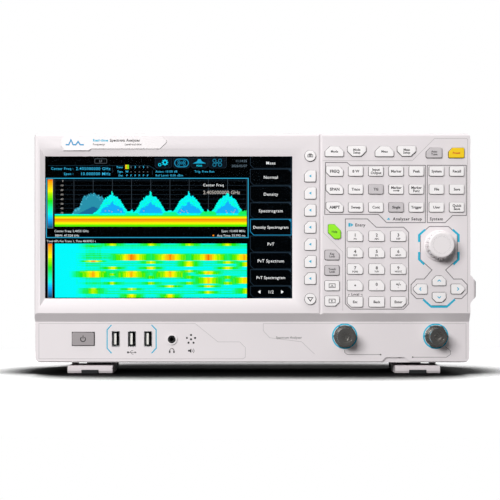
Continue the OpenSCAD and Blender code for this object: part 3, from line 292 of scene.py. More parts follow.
def ink(name, code, rough=0.45):
    """Pad-printed ink: even in colour, with the pinholes and soft sheen of a thin printed film."""
    material, tree = new_tree(name)
    space, fine = metre_space(tree, 0.35)
    film = add(tree, "TexNoise", inputs={"Vector": space, "Scale": fine, "Detail": 1.0})
    base = linear(code)
    thin = tuple(min(1.0, c * 1.12 + 0.01) for c in base[:3]) + (1,)
    tone = add(tree, "MixRGB", inputs={0: film.outputs["Fac"], 1: base, 2: thin})
    shader = add(tree, "BsdfPrincipled", inputs={"Base Color": tone.outputs[0], "Roughness": rough,
                                                 "Specular IOR Level": 0.35})
    finish_material(name, material, tree, shader.outputs[0])
    return material


def laminate(name, code):
    """Solder mask over copper: green gloss with faint tracks showing through."""
    material, tree = new_tree(name)
    space, fine = metre_space(tree, 3.0)
    tracks = add(tree, "TexBrick", inputs={"Vector": space, "Scale": fine, "Color1": linear(code),
                                           "Color2": linear("#2A8457"), "Mortar": linear("#175236")})
    shader = add(tree, "BsdfPrincipled", inputs={"Base Color": tracks.outputs["Color"], "Roughness": 0.3})
    finish_material(name, material, tree, shader.outputs[0])
    return material


def clear_glass():
    """Cover glass of the touch screen: clear and polished, with an anti-reflection coating."""
    name = "touch_glass"
    material, tree = new_tree(name)
    shader = add(tree, "BsdfPrincipled", inputs={
        "Base Color": linear("#F7FBFC"), "Roughness": 0.02, "IOR": 1.12, "Transmission Weight": 1.0})
    finish_material(name, material, tree, shader.outputs[0])


def lit_cells():
    """Liquid-crystal cells lit from behind: the mesh holds each cell's colour, which shines by itself."""
    name = "lit_cells"
    material, tree = new_tree(name)
    cell = add(tree, "VertexColor", {"layer_name": "cell"})
    shader = add(tree, "BsdfPrincipled", inputs={
        "Base Color": linear("#020304"), "Roughness": 0.6, "Specular IOR Level": 0.0,
        "Emission Color": cell.outputs["Color"], "Emission Strength": 1.0})
    finish_material(name, material, tree, shader.outputs[0])


# ABS of the case halves, moulded in a spark-eroded tool: off-white, with a fine grit and a soft sheen
moulded("shell_abs", "#EDE6E8")
moulded("cover_abs", "#E6DFE1", relief=0.09)
moulded("leg_abs", "#E2DADC", rough=0.45)
# ABS of the parts the hand touches, from a smoother tool: whiter, with a tighter highlight
moulded("knob_abs", "#F4EEEF", grit_mm=0.35, rough=0.42)
moulded("plate_abs", "#F2ECED", grit_mm=0.25, relief=0.03, rough=0.34)
# ABS key caps, dyed through: an even colour, with a dark line of painted shade along each edge where the
# gap beside the cap lies in shadow
CAP_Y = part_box("digit_keys")[0].y          # front of the key caps
moulded("key_abs", "#FEFAFA", grit_mm=0.3, relief=0.04, rough=0.42, edge_y=CAP_Y)
moulded("grey_key_abs", "#D2CCCE", grit_mm=0.3, relief=0.04, rough=0.42, edge_y=CAP_Y)
moulded("green_key_abs", "#9CF81E", grit_mm=0.3, relief=0.04, rough=0.4, edge_y=CAP_Y)
moulded("yellow_key_abs", "#FFD61A", grit_mm=0.3, relief=0.04, rough=0.4, edge_y=CAP_Y)
# the power button gets the same painted shade along its edge
moulded("button_abs", "#A39C9E", grit_mm=0.3, relief=0.04, rough=0.42,
        edge_y=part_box("power_button")[0].y)
# Glass-filled nylon of the fan, inlet and speaker: charcoal, slightly chalky
moulded("black_nylon", "#26282B", rough=0.5)
# Plain nylon of the headphone jack: blacker and glossier
moulded("jack_nylon", "#17181A", rough=0.35)
# Polyester tongues of the sockets, moulded smooth: warm white, a little glossy
moulded("white_insulator", "#F4F2EC", grit_mm=0.4, rough=0.35)
# Nickel plate on turned brass: warm, nearly a mirror, with fine turning rings
plated("nickel", "#D3D0CB", 0.12)
# Zinc-plated steel sheet, rolled: cool grey with long soft streaks
plated("zinc_sheet", "#C6C8C9", 0.32, streak_mm=1.2, axis=(8, 1, 1))
# Tinned steel of the socket and module cans, stamped: cool and fairly bright
plated("socket_steel", "#BEBFC1", 0.22)
# The same steel round the front ports, as a brighter copy that paints light on the rim, and painted dark
# as shade in the hole
plated("port_steel", "#D2D3D5", 0.22, edge_y=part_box("usb_sockets")[0].y + 0.5 * MM)
# Blackened steel of the screws and pins: dark, with a broken highlight
plated("screw_steel", "#8E9194", 0.3)
# Drawn copper jacket of the coaxial cables: dull pinkish brown
plated("copper_jacket", "#C79A6A", 0.3)
# Moulded rubbers: near black and matt feet, a smoother grip, and soft dark domes under the keys
rubber("bumper_rubber", "#1B1D1F")
rubber("grip_rubber", "#3B3E42", rough=0.6)
rubber("dome_rubber", "#3A3C3F")
# Pad-printed inks: flat colours that stand out crisply from the moulding
ink("grey_ink", "#3A3738")
ink("line_ink", "#726E6F")
ink("dark_ink", "#262426")
ink("pale_ink", "#B4AFB0")
ink("cyan_ink", "#16AECF")
ink("blue_ink", "#2D8FBF")
ink("red_ink", "#D2471E")
ink("leaf_ink", "#2F6A12")
# Glass-fibre circuit board under green solder mask: gloss green with paler tracks
laminate("board_laminate", "#1E6B45")
clear_glass()
lit_cells()

NODE_FINISH = {
    "front_bezel": "shell_abs", "badge_plate": "plate_abs", "display_glass": "touch_glass",
    "lcd_module": "zinc_sheet", "rear_cover": "cover_abs", "rear_panel": "zinc_sheet",
    "chassis_tray": "zinc_sheet", "main_board": "board_laminate", "rf_modules": "socket_steel",
    "power_supply": "zinc_sheet", "fan_frame": "black_nylon", "fan_rotor": "black_nylon",
    "key_board": "board_laminate", "key_mat": "dome_rubber", "encoder": "socket_steel",
    "knob": "knob_abs", "rf_input_connector": "nickel", "generator_output_connector": "nickel",
    "usb_sockets": "port_steel", "headphone_jack": "jack_nylon", "speaker": "black_nylon",
    "bnc_connectors": "nickel", "data_sockets": "socket_steel", "mains_inlet": "black_nylon",
    "rear_feet": "bumper_rubber", "case_screws": "screw_steel", "rf_cables": "copper_jacket",
    "foot_pins": "screw_steel", "left_foot": "leg_abs", "right_foot": "leg_abs",
    "left_foot_pad": "bumper_rubber", "right_foot_pad": "bumper_rubber", "carry_handle": "grip_rubber",
    "power_button": "button_abs", "auto_tune_key": "grey_key_abs", "backlit_keys": "grey_key_abs",
    "lock_keys": "grey_key_abs", "help_key": "green_key_abs", "preset_key": "yellow_key_abs",
}
EDGE_RADIUS = {                            # rounding of the moulded and cut edges, in millimetres
    "front_bezel": 0.7, "rear_cover": 0.9, "badge_plate": 0.25, "knob": 0.3, "carry_handle": 0.8,
    "left_foot": 0.5, "right_foot": 0.5, "left_foot_pad": 0.3, "right_foot_pad": 0.3, "rear_feet": 0.5,
    "rear_panel": 0.15, "mains_inlet": 0.3, "display_glass": 0.1, "fan_frame": 0.3,
    "usb_sockets": 0.1, "data_sockets": 0.1, "headphone_jack": 0.25, "bnc_connectors": 0.2,
    "rf_input_connector": 0.25, "generator_output_connector": 0.25,
}
KEY_EDGE = 0.55                            # the same for the key caps and the rest
# Nodes inside the case, whose edges stay as they are
PLAIN_NODES = ("main_board", "rf_modules", "power_supply", "chassis_tray", "key_board", "key_mat",
               "rf_cables", "case_screws", "foot_pins", "encoder", "speaker", "lcd_module")


def dress_node(name, node):
    """Gives a CAD node its finish and rounds its edges with a bevel that keeps the flat faces flat."""
    node.data.materials.clear()
    node.data.materials.append(MATERIALS[NODE_FINISH.get(name, "key_abs")])
    weld = node.modifiers.new("weld", "WELD")
    weld.merge_threshold = 0.002 * MM
    if name not in PLAIN_NODES:
        flat = node.modifiers.new("join_faces", "DECIMATE")
        flat.decimate_type = "DISSOLVE"
        flat.angle_limit = math.radians(1)
        edge = node.modifiers.new("edges", "BEVEL")
        edge.width = EDGE_RADIUS.get(name, KEY_EDGE) * MM
        edge.segments = 3
        edge.limit_method = "ANGLE"
        edge.angle_limit = math.radians(28)
        edge.use_clamp_overlap = True
    smooth = node.modifiers.new("normals", "WEIGHTED_NORMAL")
    smooth.keep_sharp = True
    smooth.weight = 100
    for polygon in node.data.polygons:
        polygon.use_smooth = True


for node_name, node_object in NODES.items():
    dress_node(node_name, node_object)


# Prints and small meshes --------------------------------------------------------------------------

CAPITAL = 0.729                            # height of a capital in the built-in font at size 1


def mitred(points, width, closed):
    """Points of a line, each with the half-width step to its mitred side."""
    found = []
    count = len(points)
    for i, p in enumerate(points):
        p = Vector(p)
        before = p - Vector(points[i - 1]) if i or closed else None
        after = Vector(points[(i + 1) % count]) - p if i < count - 1 or closed else None
        before, after = before or after, after or before
        sides = [Vector((-d.y, d.x)).normalized() for d in (before, after)]
        normal = (sides[0] + sides[1]).normalized()
        found.append((p, normal * (width / 2 / max(0.5, normal.dot(sides[0])))))
    return found


def lettering(text, height, align, bold, spread=1.0, thick=0.0):
    """Vertices and faces of words whose capitals are height tall; their foot line is at zero."""
    curve = bpy.data.curves.new("words", "FONT")
    curve.body = text
    curve.align_x = align
    curve.size = height / CAPITAL
    curve.space_character = spread
    curve.resolution_u = 2
    curve.offset = bold * height / 100
    curve.extrude = thick / 2
    carrier = bpy.data.objects.new("words", curve)
    bpy.context.scene.collection.objects.link(carrier)
    bpy.context.view_layer.update()
    shaped = carrier.evaluated_get(bpy.context.evaluated_depsgraph_get()).to_mesh()
    spots = {}                             # one number for each place, so that the sides join the faces
    order = [spots.setdefault(tuple(round(c, 4) for c in v.co), len(spots)) for v in shaped.vertices]
    verts = list(spots)
    faces = [list(dict.fromkeys(order[i] for i in f.vertices)) for f in shaped.polygons]
    faces = [f for f in faces if len(f) > 2]
    bpy.data.objects.remove(carrier)
    bpy.data.curves.remove(curve)
    return verts, faces


def mesh_piece(name, mesh, material, body):
    """Piece of one material that moves with a body."""
    mesh.materials.append(MATERIALS[material])
    made = bpy.data.objects.new(name, mesh)
    bpy.context.scene.collection.objects.link(made)
    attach(made, body)
    return made


class Builder:
    """Collects solids in millimetres for one mesh, with X to the right, Y to the back and Z up."""

    def __init__(self):
        self.verts = []
        self.faces = []

    def loop(self, points, y):
        """Adds the points of an outline at y and gives their numbers."""
        start = len(self.verts)
        self.verts += [(x * MM, y, z * MM) for x, z in points]
        return list(range(start, start + len(points)))

    def prism(self, points, y0, y1):
        """Outline in X and Z, from y0 back to y1; the outline may run either way round."""
        area = sum(a[0] * b[1] - b[0] * a[1] for a, b in zip(points, points[1:] + points[:1]))
        if area < 0:
            points = points[::-1]
        front, back = self.loop(points, y0), self.loop(points, y1)
        self.faces.append(front)
        self.faces.append(back[::-1])
        count = len(points)
        for i in range(count):
            j = (i + 1) % count
            self.faces.append([front[j], front[i], back[i], back[j]])

    def ribbon(self, points, width, y0, y1, closed=False):
        """Line of even width with mitred corners."""
        ends = mitred(points, width, closed)
        left, right = [tuple(p + n) for p, n in ends], [tuple(p - n) for p, n in ends]
        rails = [self.loop(side, y) for side, y in ((left, y0), (right, y0), (right, y1), (left, y1))]
        count = len(points)
        for i in range(count if closed else count - 1):
            j = (i + 1) % count
            for a, b in zip(rails, rails[1:] + rails[:1]):
                self.faces.append([a[i], b[i], b[j], a[j]])
        if not closed:
            self.faces.append([r[0] for r in rails][::-1])
            self.faces.append([r[-1] for r in rails])

    def letters(self, text, x, z, height, y0, y1, align="CENTER", bold=0.0, spread=1.0):
        """Words whose capitals are height tall, standing at x with their middle line at z."""
        verts, faces = lettering(text, height, align, bold, spread, thick=(y1 - y0) / MM)
        start = len(self.verts)
        foot = z - height / 2
        self.verts += [((x + u) * MM, (y0 + y1) / 2 - w * MM, (foot + v) * MM) for u, v, w in verts]
        self.faces += [[start + i for i in f] for f in faces]

    def piece(self, name, material, body, slot=None):
        """Makes the collected solids one piece, with its faces turned outward."""
        mesh = bpy.data.meshes.new(name)
        mesh.from_pydata(self.verts, [], self.faces)
        shape = bmesh.new()
        shape.from_mesh(mesh)
        bmesh.ops.recalc_face_normals(shape, faces=shape.faces)
        shape.to_mesh(mesh)
        shape.free()
        return mesh_piece(name, mesh, material, body)


def mm(v):
    """Metres as millimetres."""
    return v / MM


def islands(name):
    """Boxes of the separate solids of a node, in millimetres, from the top row down and left to right."""
    shape = bmesh.new()
    shape.from_mesh(NODES[name].data)
    bmesh.ops.remove_doubles(shape, verts=shape.verts, dist=0.002 * MM)
    seen = set()
    boxes = []
    for first in shape.verts:
        if first in seen:
            continue
        seen.add(first)
        todo, group = [first], []
        while todo:
            v = todo.pop()
            group.append(v.co.copy())
            for e in v.link_edges:
                other = e.other_vert(v)
                if other not in seen:
                    seen.add(other)
                    todo.append(other)
        low = [mm(min(c[i] for c in group)) for i in range(3)]
        high = [mm(max(c[i] for c in group)) for i in range(3)]
        boxes.append((low, high))
    shape.free()
    return sorted(boxes, key=lambda b: (-round((b[0][2] + b[1][2]) / 6), b[0][0]))


FLANGE = 1.1                               # lip of a key's flange behind the face


class Cap:
    """Front of one key cap: its centre, half sizes and the Y of its face."""

    def __init__(self, box):
        low, high = box
        self.x = (low[0] + high[0]) / 2
        self.z = (low[2] + high[2]) / 2
        self.w = (high[0] - low[0]) / 2 - FLANGE
        self.h = (high[2] - low[2]) / 2 - FLANGE
        self.y0 = low[1] * MM - PRINT
        self.y1 = low[1] * MM + PRINT_ROOT


def caps(name):
    """Caps of a node's keys, from the top row down and left to right."""
    return [Cap(b) for b in islands(name)]


# Key legends --------------------------------------------------------------------------------------

BOLD = 4.0                                 # how much the strokes are fattened, in percent
LEGEND = 2.4                               # height of the capitals on a key, in millimetres


def two_lines(maker, cap, text, size=LEGEND, gap=0.25):
    """Writes one line, or two lines split at a slash, in the middle of a cap; ">" stands for an arrow."""
    lines = text.split("/")
    for i, line in enumerate(lines):
        z = cap.z - (i - (len(lines) - 1) / 2) * size * (1 + gap)
        if line == ">":
            maker.ribbon([(cap.x - 2.9, z), (cap.x + 1.4, z)], 0.8, cap.y0, cap.y1)
            maker.prism([(cap.x + 1.4, z + 1.1), (cap.x + 1.4, z - 1.1), (cap.x + 3.2, z)], cap.y0, cap.y1)
        else:
            maker.letters(line, cap.x, z, size, cap.y0, cap.y1, bold=BOLD)


def legend_keys(name, words, material="grey_ink", size=LEGEND):
    """Prints a legend on each cap of a node, from the top row down and left to right."""
    maker = Builder()
    for cap, text in zip(caps(name), words):
        two_lines(maker, cap, text, size)
    maker.piece(name + "_legend", material, name)


legend_keys("mode_keys", ["Mode", "Mode/Setup"], size=2.1)
legend_keys("meas_keys", ["Meas", "Meas/Setup"], size=2.1)
legend_keys("band_keys", ["FREQ", "SPAN", "AMPT"], "dark_ink", size=2.75)
legend_keys("setup_keys", ["B W", "Input/Output", "Marker", "Peak", "Trace", "Marker/>", "Marker/Func",
                           "Sweep", "Cont", "Trigger"])
legend_keys("backlit_keys", ["TG", "Single"], material="dark_ink")
legend_keys("system_keys", ["System", "Recall", "File", "Save", "User", "Quick/Save"])
legend_keys("lock_keys", ["Key/Lock", "Touch/Lock"], material="dark_ink", size=1.9)
legend_keys("auto_tune_key", ["Auto/Tune"], material="dark_ink", size=2.0)
legend_keys("preset_key", ["Preset"], material="red_ink", size=2.0)
legend_keys("help_key", ["Help"], material="leaf_ink", size=2.0)


def chevron(maker, x, z, size, turn, y0, y1, width=0.55):
    """Open arrow head that points up when turn is 0."""
    a = math.radians(turn)
    points = [(-size, -size * 0.45), (0, size * 0.45), (size, -size * 0.45)]
    turned = [(x + px * math.cos(a) - pz * math.sin(a), z + px * math.sin(a) + pz * math.cos(a))
              for px, pz in points]
    maker.ribbon(turned, width, y0, y1)


def circle(x, z, r, count=20, a0=0.0, a1=360.0):
    """Points of a circle, or of the arc from a0 to a1 in degrees."""
    full = abs(a1 - a0) >= 360
    steps = count if full else count - 1
    return [(x + r * math.cos(math.radians(a0 + (a1 - a0) * i / steps)),
             z + r * math.sin(math.radians(a0 + (a1 - a0) * i / steps))) for i in range(count)]


def box_points(x0, z0, x1, z1):
    """Corners of a rectangle."""
    return [(x0, z0), (x1, z0), (x1, z1), (x0, z1)]


def mark_arrow_keys():
    """Cyan arrow heads round the knob."""
    for name, turn in (("up_key", 0), ("down_key", 180), ("left_key", 90), ("right_key", -90)):
        cap = caps(name)[0]
        maker = Builder()
        chevron(maker, cap.x, cap.z, 1.5, turn, cap.y0, cap.y1, width=0.85)
        maker.piece(name + "_mark", "cyan_ink", name)


def mark_soft_keys():
    """Cyan pointers to the screen's menu on the seven keys beside it."""
    for i in range(1, 8):
        name = f"softkey_{i}"
        cap = caps(name)[0]
        maker = Builder()
        maker.prism([(cap.x - 1.3, cap.z), (cap.x + 1.0, cap.z - 1.4), (cap.x + 1.0, cap.z + 1.4)],
                    cap.y0, cap.y1)
        maker.piece(name + "_mark", "cyan_ink", name)


def mark_page_key():
    """Open triangle that points down."""
    cap = caps("page_key")[0]
    maker = Builder()
    triangle = [(cap.x - 2.3, cap.z + 1.3), (cap.x + 2.3, cap.z + 1.3), (cap.x, cap.z - 1.9)]
    maker.ribbon(triangle, 0.75, cap.y0, cap.y1, True)
    maker.piece("page_key_mark", "dark_ink", "page_key")


def mark_capture_key():
    """Small printer with its sheet."""
    cap = caps("capture_key")[0]
    maker = Builder()
    maker.ribbon(box_points(cap.x - 2.3, cap.z - 1.2, cap.x + 2.3, cap.z + 0.9), 0.5, cap.y0, cap.y1, True)
    maker.prism(box_points(cap.x - 1.4, cap.z + 1.2, cap.x + 1.4, cap.z + 1.9), cap.y0, cap.y1)
    maker.prism(box_points(cap.x - 1.2, cap.z - 0.7, cap.x + 1.2, cap.z + 0.2), cap.y0, cap.y1)
    maker.piece("capture_key_mark", "dark_ink", "capture_key")


def mark_power_button():
    """Standby symbol: a broken ring with a bar."""
    cap = caps("power_button")[0]
    maker = Builder()
    maker.ribbon(circle(cap.x, cap.z - 0.2, 2.3, 24, 125, 415), 0.8, cap.y0, cap.y1)
    maker.prism(box_points(cap.x - 0.4, cap.z + 0.4, cap.x + 0.4, cap.z + 3.2), cap.y0, cap.y1)
    maker.piece("power_button_mark", "dark_ink", "power_button")


def mark_screen_keys():
    """Two small screens, one with an eject sign and one with a play sign."""
    maker = Builder()
    upper, lower = caps("screen_keys")
    for cap in (upper, lower):
        outline = box_points(cap.x - 2.8, cap.z - 1.7, cap.x + 2.8, cap.z + 1.7)
        maker.ribbon(outline, 0.55, cap.y0, cap.y1, True)
    maker.prism(box_points(upper.x - 1.6, upper.z - 0.9, upper.x + 1.6, upper.z - 0.5), upper.y0, upper.y1)
    maker.prism([(upper.x - 0.9, upper.z - 0.1), (upper.x + 0.9, upper.z - 0.1), (upper.x, upper.z + 1.0)],
                upper.y0, upper.y1)
    maker.prism([(lower.x - 0.8, lower.z - 0.9), (lower.x + 1.0, lower.z), (lower.x - 0.8, lower.z + 0.9)],
                lower.y0, lower.y1)
    maker.piece("screen_keys_mark", "dark_ink", "screen_keys")


DIGIT_ROWS = [["1", "2", "3"], ["4", "5", "6"], ["7", "8", "9"], [".", "0", "+/-"]]
SMALL_ROWS = [["A/a", "ABC", "DEF"], ["GHI", "JKL", "MNO"], ["PQRS", "TUV", "WXYZ"], ["#", "_", "*"]]


def mark_digit_keys():
    """Large digits with the small letters under them."""
    digits, small = Builder(), Builder()
    for cap, big, tiny in zip(caps("digit_keys"), sum(DIGIT_ROWS, []), sum(SMALL_ROWS, [])):
        if big == ".":
            digits.prism(circle(cap.x, cap.z, 0.8, 16), cap.y0, cap.y1)
            continue
        digits.letters(big, cap.x, cap.z + 1.1, 2.9, cap.y0, cap.y1, bold=BOLD)
        small.letters(tiny, cap.x, cap.z - 2.4, 1.6, cap.y0, cap.y1, bold=BOLD)
    digits.piece("digit_keys_legend", "grey_ink", "digit_keys")
    small.piece("digit_keys_small_legend", "grey_ink", "digit_keys")


mark_arrow_keys()
mark_soft_keys()
mark_page_key()
mark_capture_key()
mark_power_button()
mark_screen_keys()
mark_digit_keys()
legend_keys("entry_keys", ["Esc", "Back", "Enter"])


# Printed lines on the face, given as millimetres from the case's left edge and down from its top ---

FINE_LINE = 0.35                           # widths of the printed lines, in millimetres
FIELD_LINE = 0.7
CYAN_LINE = 1.9


def on_face(points):
    """Points as X and Z in millimetres."""
    return [(mm(LEFT) + x, mm(TOP) - z) for x, z in points]


SETUP_LINE = [(270.2, 27.2), (290.1, 27.2), (293.1, 29.8), (362.7, 29.8), (362.7, 82.9), (326.8, 82.9),
              (319.3, 75.3), (269.5, 75.3)]
SYSTEM_LINE = [(364.5, 29.8), (400.7, 29.8), (400.7, 76.3), (387.9, 76.3), (381.1, 82.9), (364.5, 82.9)]
ENTRY_LINE = [(288.6, 79.5), (309.0, 79.5), (317.2, 87.2), (342.6, 87.2), (347.2, 91.9), (347.2, 158.3),
              (342.6, 163.1), (293.6, 163.1), (288.6, 158.2)]
KNOB_LINE = [(366.4, 86.5), (384.1, 86.5), (392.3, 93.8), (392.3, 117.1), (381.5, 126.8), (389.0, 135.2),
             (396.4, 135.2), (401.5, 140.4), (401.5, 148.2), (396.4, 153.3), (390.3, 153.3),
             (382.9, 159.8), (367.8, 159.8), (360.7, 153.3), (354.5, 153.3), (349.5, 148.2),
             (349.5, 140.4), (354.5, 135.2), (361.7, 135.2), (368.8, 126.8), (358.1, 117.1), (358.1, 93.8)]
PANEL_EDGE = [(267.6, 25.5), (350.6, 25.5), (371.3, 4.9), (401.0, 4.9), (401.9, 5.8), (401.9, 166.0)]
LOCK_EDGE = [(268.2, 77.0), (268.2, 92.1), (286.2, 110.1), (286.2, 164.5)]
CYAN_LINES = [
    [(362.6, 89.4), (356.9, 94.4), (356.9, 100.9)], [(388.0, 89.4), (393.6, 94.4), (393.6, 100.9)],
    [(356.9, 110.1), (356.9, 117.0), (361.7, 121.7)], [(393.6, 110.1), (393.6, 117.0), (388.8, 121.7)],
    [(360.7, 154.1), (368.2, 160.9), (382.6, 160.9), (390.1, 154.1)]]


def print_face_lines():
    """Outlines round the groups of keys, with their titles and small signs."""
    grey, lines, pale, cyan = Builder(), Builder(), Builder(), Builder()
    y0, y1 = FACE_Y - PRINT, FACE_Y + PRINT_ROOT
    for line in (SETUP_LINE, SYSTEM_LINE, ENTRY_LINE, KNOB_LINE):
        lines.ribbon(on_face(line), FIELD_LINE, y0, y1, True)
    for line in (PANEL_EDGE, LOCK_EDGE):
        pale.ribbon(on_face(line), FINE_LINE, y0, y1)
    for line in CYAN_LINES:
        cyan.ribbon(on_face(line), CYAN_LINE, y0 - PRINT / 2, y1)
    for text, x, z in (("Analyzer Setup", 332.6, 79.4), ("System", 366.8, 79.4), ("Entry", 297.6, 85.0)):
        x, z = on_face([(x, z)])[0]
        grey.letters(text, x, z, 2.8, y0, y1, align="LEFT", bold=BOLD, spread=1.14)
        if text == "Analyzer Setup":
            cyan.prism([(x - 5.6, z - 0.9), (x - 2.4, z - 0.9), (x - 4.0, z + 1.2)], y0, y1)
        if text == "Entry":
            cyan.prism(box_points(x - 6.2, z - 1.7, x - 4.2, z + 1.7), y0, y1)
            cyan.prism([(x - 3.8, z + 1.7), (x - 3.8, z - 1.7), (x - 1.6, z)], y0, y1)
    x, z = on_face([(297.8, 149.3)])[0]
    grey.letters("Local", x, z, 2.2, y0, y1, bold=BOLD, spread=1.15)
    for side in (-1, 1):
        bracket = [(x + side * 4.9, z), (x + side * 6.3, z), (x + side * 6.3, z - 1.8)]
        grey.ribbon(bracket, FINE_LINE, y0, y1)
    grey.piece("face_print_words", "grey_ink", "case")
    lines.piece("face_print_lines", "line_ink", "case")
    pale.piece("face_print_pale", "pale_ink", "case")
    cyan.piece("face_print_cyan", "cyan_ink", "case")


LEFT_STRIP_LINE = [(3.4, 176.6), (149.1, 176.6), (170.3, 193.7), (190.6, 193.7), (195.9, 199.0),
                   (195.9, 208.0), (193.7, 209.5), (3.4, 209.5)]
RIGHT_STRIP_LINE = [(260.4, 205.1), (248.4, 193.6), (218.7, 189.9), (212.6, 183.4), (212.6, 176.6),
                    (401.6, 176.6), (401.6, 209.4)]
USB_BRACKETS = [[(71.1, 177.9), (67.0, 182.4), (67.0, 199.7), (71.1, 204.3)],
                [(108.4, 177.9), (112.7, 182.4), (112.7, 199.7), (108.4, 204.3)]]


def trident(maker, x, z, s, y0, y1):
    """Generic serial-bus symbol: a stem with a ball, an arrow head and two side arms."""
    upper_arm = [(x - 1.6 * s, z), (x - 0.4 * s, z + 1.3 * s), (x + 0.9 * s, z + 1.3 * s)]
    lower_arm = [(x - 0.9 * s, z), (x + 0.2 * s, z - 1.3 * s), (x + 1.3 * s, z - 1.3 * s)]
    maker.ribbon([(x - 3 * s, z), (x + 2.4 * s, z)], FINE_LINE * s, y0, y1)
    maker.prism(circle(x - 3 * s, z, 0.8 * s, 12), y0, y1)
    maker.prism([(x + 2.2 * s, z + 0.8 * s), (x + 3.7 * s, z), (x + 2.2 * s, z - 0.8 * s)], y0, y1)
    maker.ribbon(upper_arm, FINE_LINE * s, y0, y1)
    maker.ribbon(lower_arm, FINE_LINE * s, y0, y1)


STRIP_FRONT = STRIP_Y - PRINT
STRIP_ROOT = STRIP_Y + PRINT_ROOT


def centre(name):
    """Middle of a node in X and Z, in millimetres."""
    low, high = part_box(name)
    return mm(low.x + high.x) / 2, mm(low.z + high.z) / 2


def lay_speaker_cloth():
    """Black cloth that shows in the six holes in front of the speaker."""
    x, z = centre("speaker")
    cloth = Builder()
    for hole_x, hole_z in [(x, z)] + circle(x, z, 4.0, 5, 90, 378):
        cloth.prism(circle(hole_x, hole_z, 0.93, 12), STRIP_Y + 0.3 * MM, STRIP_Y + 0.6 * MM)
    cloth.piece("speaker_cloth", "bumper_rubber", "case")


def paint_power_button_gap_shade():
    """Dark ring of painted shade round the power button, standing in for the gap that lies in shadow."""
    button = caps("power_button")[0]
    gap = 0.2
    outline = box_points(button.x - button.w - gap, button.z - button.h - gap,
                         button.x + button.w + gap, button.z + button.h + gap)
    gap_shade = Builder()
    gap_shade.ribbon(outline, 0.7, STRIP_FRONT, STRIP_ROOT, True)
    gap_shade.piece("power_button_gap_shade", "bumper_rubber", "case")


def fit_usb_tongues():
    """White tongues that stand in the three sockets."""
    low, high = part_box("usb_sockets")
    x, z = centre("usb_sockets")
    socket_w = 14                          # width of one socket's shell
    pitch = (mm(high.x - low.x) - socket_w) / 2
    tongues = Builder()
    for i in (-1, 0, 1):
        outline = box_points(x + i * pitch - 1.4, z - 5.2, x + i * pitch + 0.6, z + 5.2)
        tongues.prism(outline, STRIP_Y + 0.8 * MM, STRIP_Y + 1.6 * MM)
    tongues.piece("usb_tongues", "white_insulator", "case", "black_plastic")


def fit_headphone_jack_rim():
    """White collar round the jack's front."""
    low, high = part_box("headphone_jack")
    x, z = centre("headphone_jack")
    rim = Builder()
    rim.ribbon(circle(x, z, mm(high.x - low.x) / 2 - 0.7, 48), 1.3,
               low.y - 0.2 * MM, low.y + 0.5 * MM, True)
    rim.piece("headphone_jack_rim", "plate_abs", "case")


def print_headphones(grey, x, z):
    """Headband with two ear pads."""
    band = 2.0
    grey.ribbon(circle(x, z, band, 12, 0, 180), 0.6, STRIP_FRONT, STRIP_ROOT)
    for side in (-1, 1):
        pad = box_points(x + side * band - 0.7, z - 2.2, x + side * band + 0.7, z)
        grey.prism(pad, STRIP_FRONT, STRIP_ROOT)


def print_loudspeaker(grey, x, z):
    """Cone with two sound waves."""
    cone = [(x - 2.8, z - 0.9), (x - 1.4, z - 0.9), (x + 0.3, z - 2.2),
            (x + 0.3, z + 1.9), (x - 1.4, z + 0.7), (x - 2.8, z + 0.7)]
    grey.prism(cone, STRIP_FRONT, STRIP_ROOT)
    for r in (1.3, 2.5):
        grey.ribbon(circle(x + 0.4, z - 0.1, r, 8, -50, 50), 0.45, STRIP_FRONT, STRIP_ROOT)


def print_connector(grey, cyan, name, text, lead, shift):
    """Cyan ring round a connector, its name above it and a fine line from it to a dot."""
    x, z = centre(name)
    y0, y1 = STRIP_FRONT, STRIP_ROOT
    cyan.ribbon(circle(x, z, 11.2, 64), 1.4, y0, y1, True)
    lead = [(x + u, z + v) for u, v in lead]
    grey.ribbon(lead, FINE_LINE, y0, y1)
    grey.prism(circle(lead[-1][0], lead[-1][1], 0.7, 12), y0, y1)
    grey.letters(text, x + shift, z + 14.4, 1.7, y0, y1, bold=0.4)


def print_strip_lines():
    """Lines, signs and words on the connector strip."""
    grey, pale, cyan = Builder(), Builder(), Builder()
    y0, y1 = STRIP_FRONT, STRIP_ROOT
    pale.ribbon(on_face(LEFT_STRIP_LINE), FINE_LINE, y0, y1, True)
    pale.ribbon(on_face(RIGHT_STRIP_LINE), FINE_LINE, y0, y1)
    for line in USB_BRACKETS:
        cyan.ribbon(on_face(line), 1.0, y0, y1)
    trident(grey, centre("usb_sockets")[0], mm(TOP) - 203.5, 1.2, y0, y1)
    icon_z = mm(TOP) - 201.9
    print_headphones(grey, centre("headphone_jack")[0], icon_z)
    print_loudspeaker(grey, centre("speaker")[0], icon_z)
    title_x, title_z = on_face([(224.3, 189.6)])[0]
    grey.letters("Spectrum Analyzer", title_x, title_z, 2.3, y0, y1, align="LEFT", bold=0.4)
    print_connector(grey, cyan, "generator_output_connector", "GEN OUTPUT 50",
                    [(0, -12.6), (0, -15.2), (2.6, -17.2), (33.5, -17.2)], 0)
    print_connector(grey, cyan, "rf_input_connector", "RF INPUT 50",
                    [(8.6, -9.6), (13.6, -13.6), (13.6, -17.0), (10.0, -19.6), (-21.5, -19.6)], -0.5)
    grey.piece("strip_print_grey", "grey_ink", "case")
    pale.piece("strip_print_pale", "pale_ink", "case")
    cyan.piece("strip_print_cyan", "cyan_ink", "case")


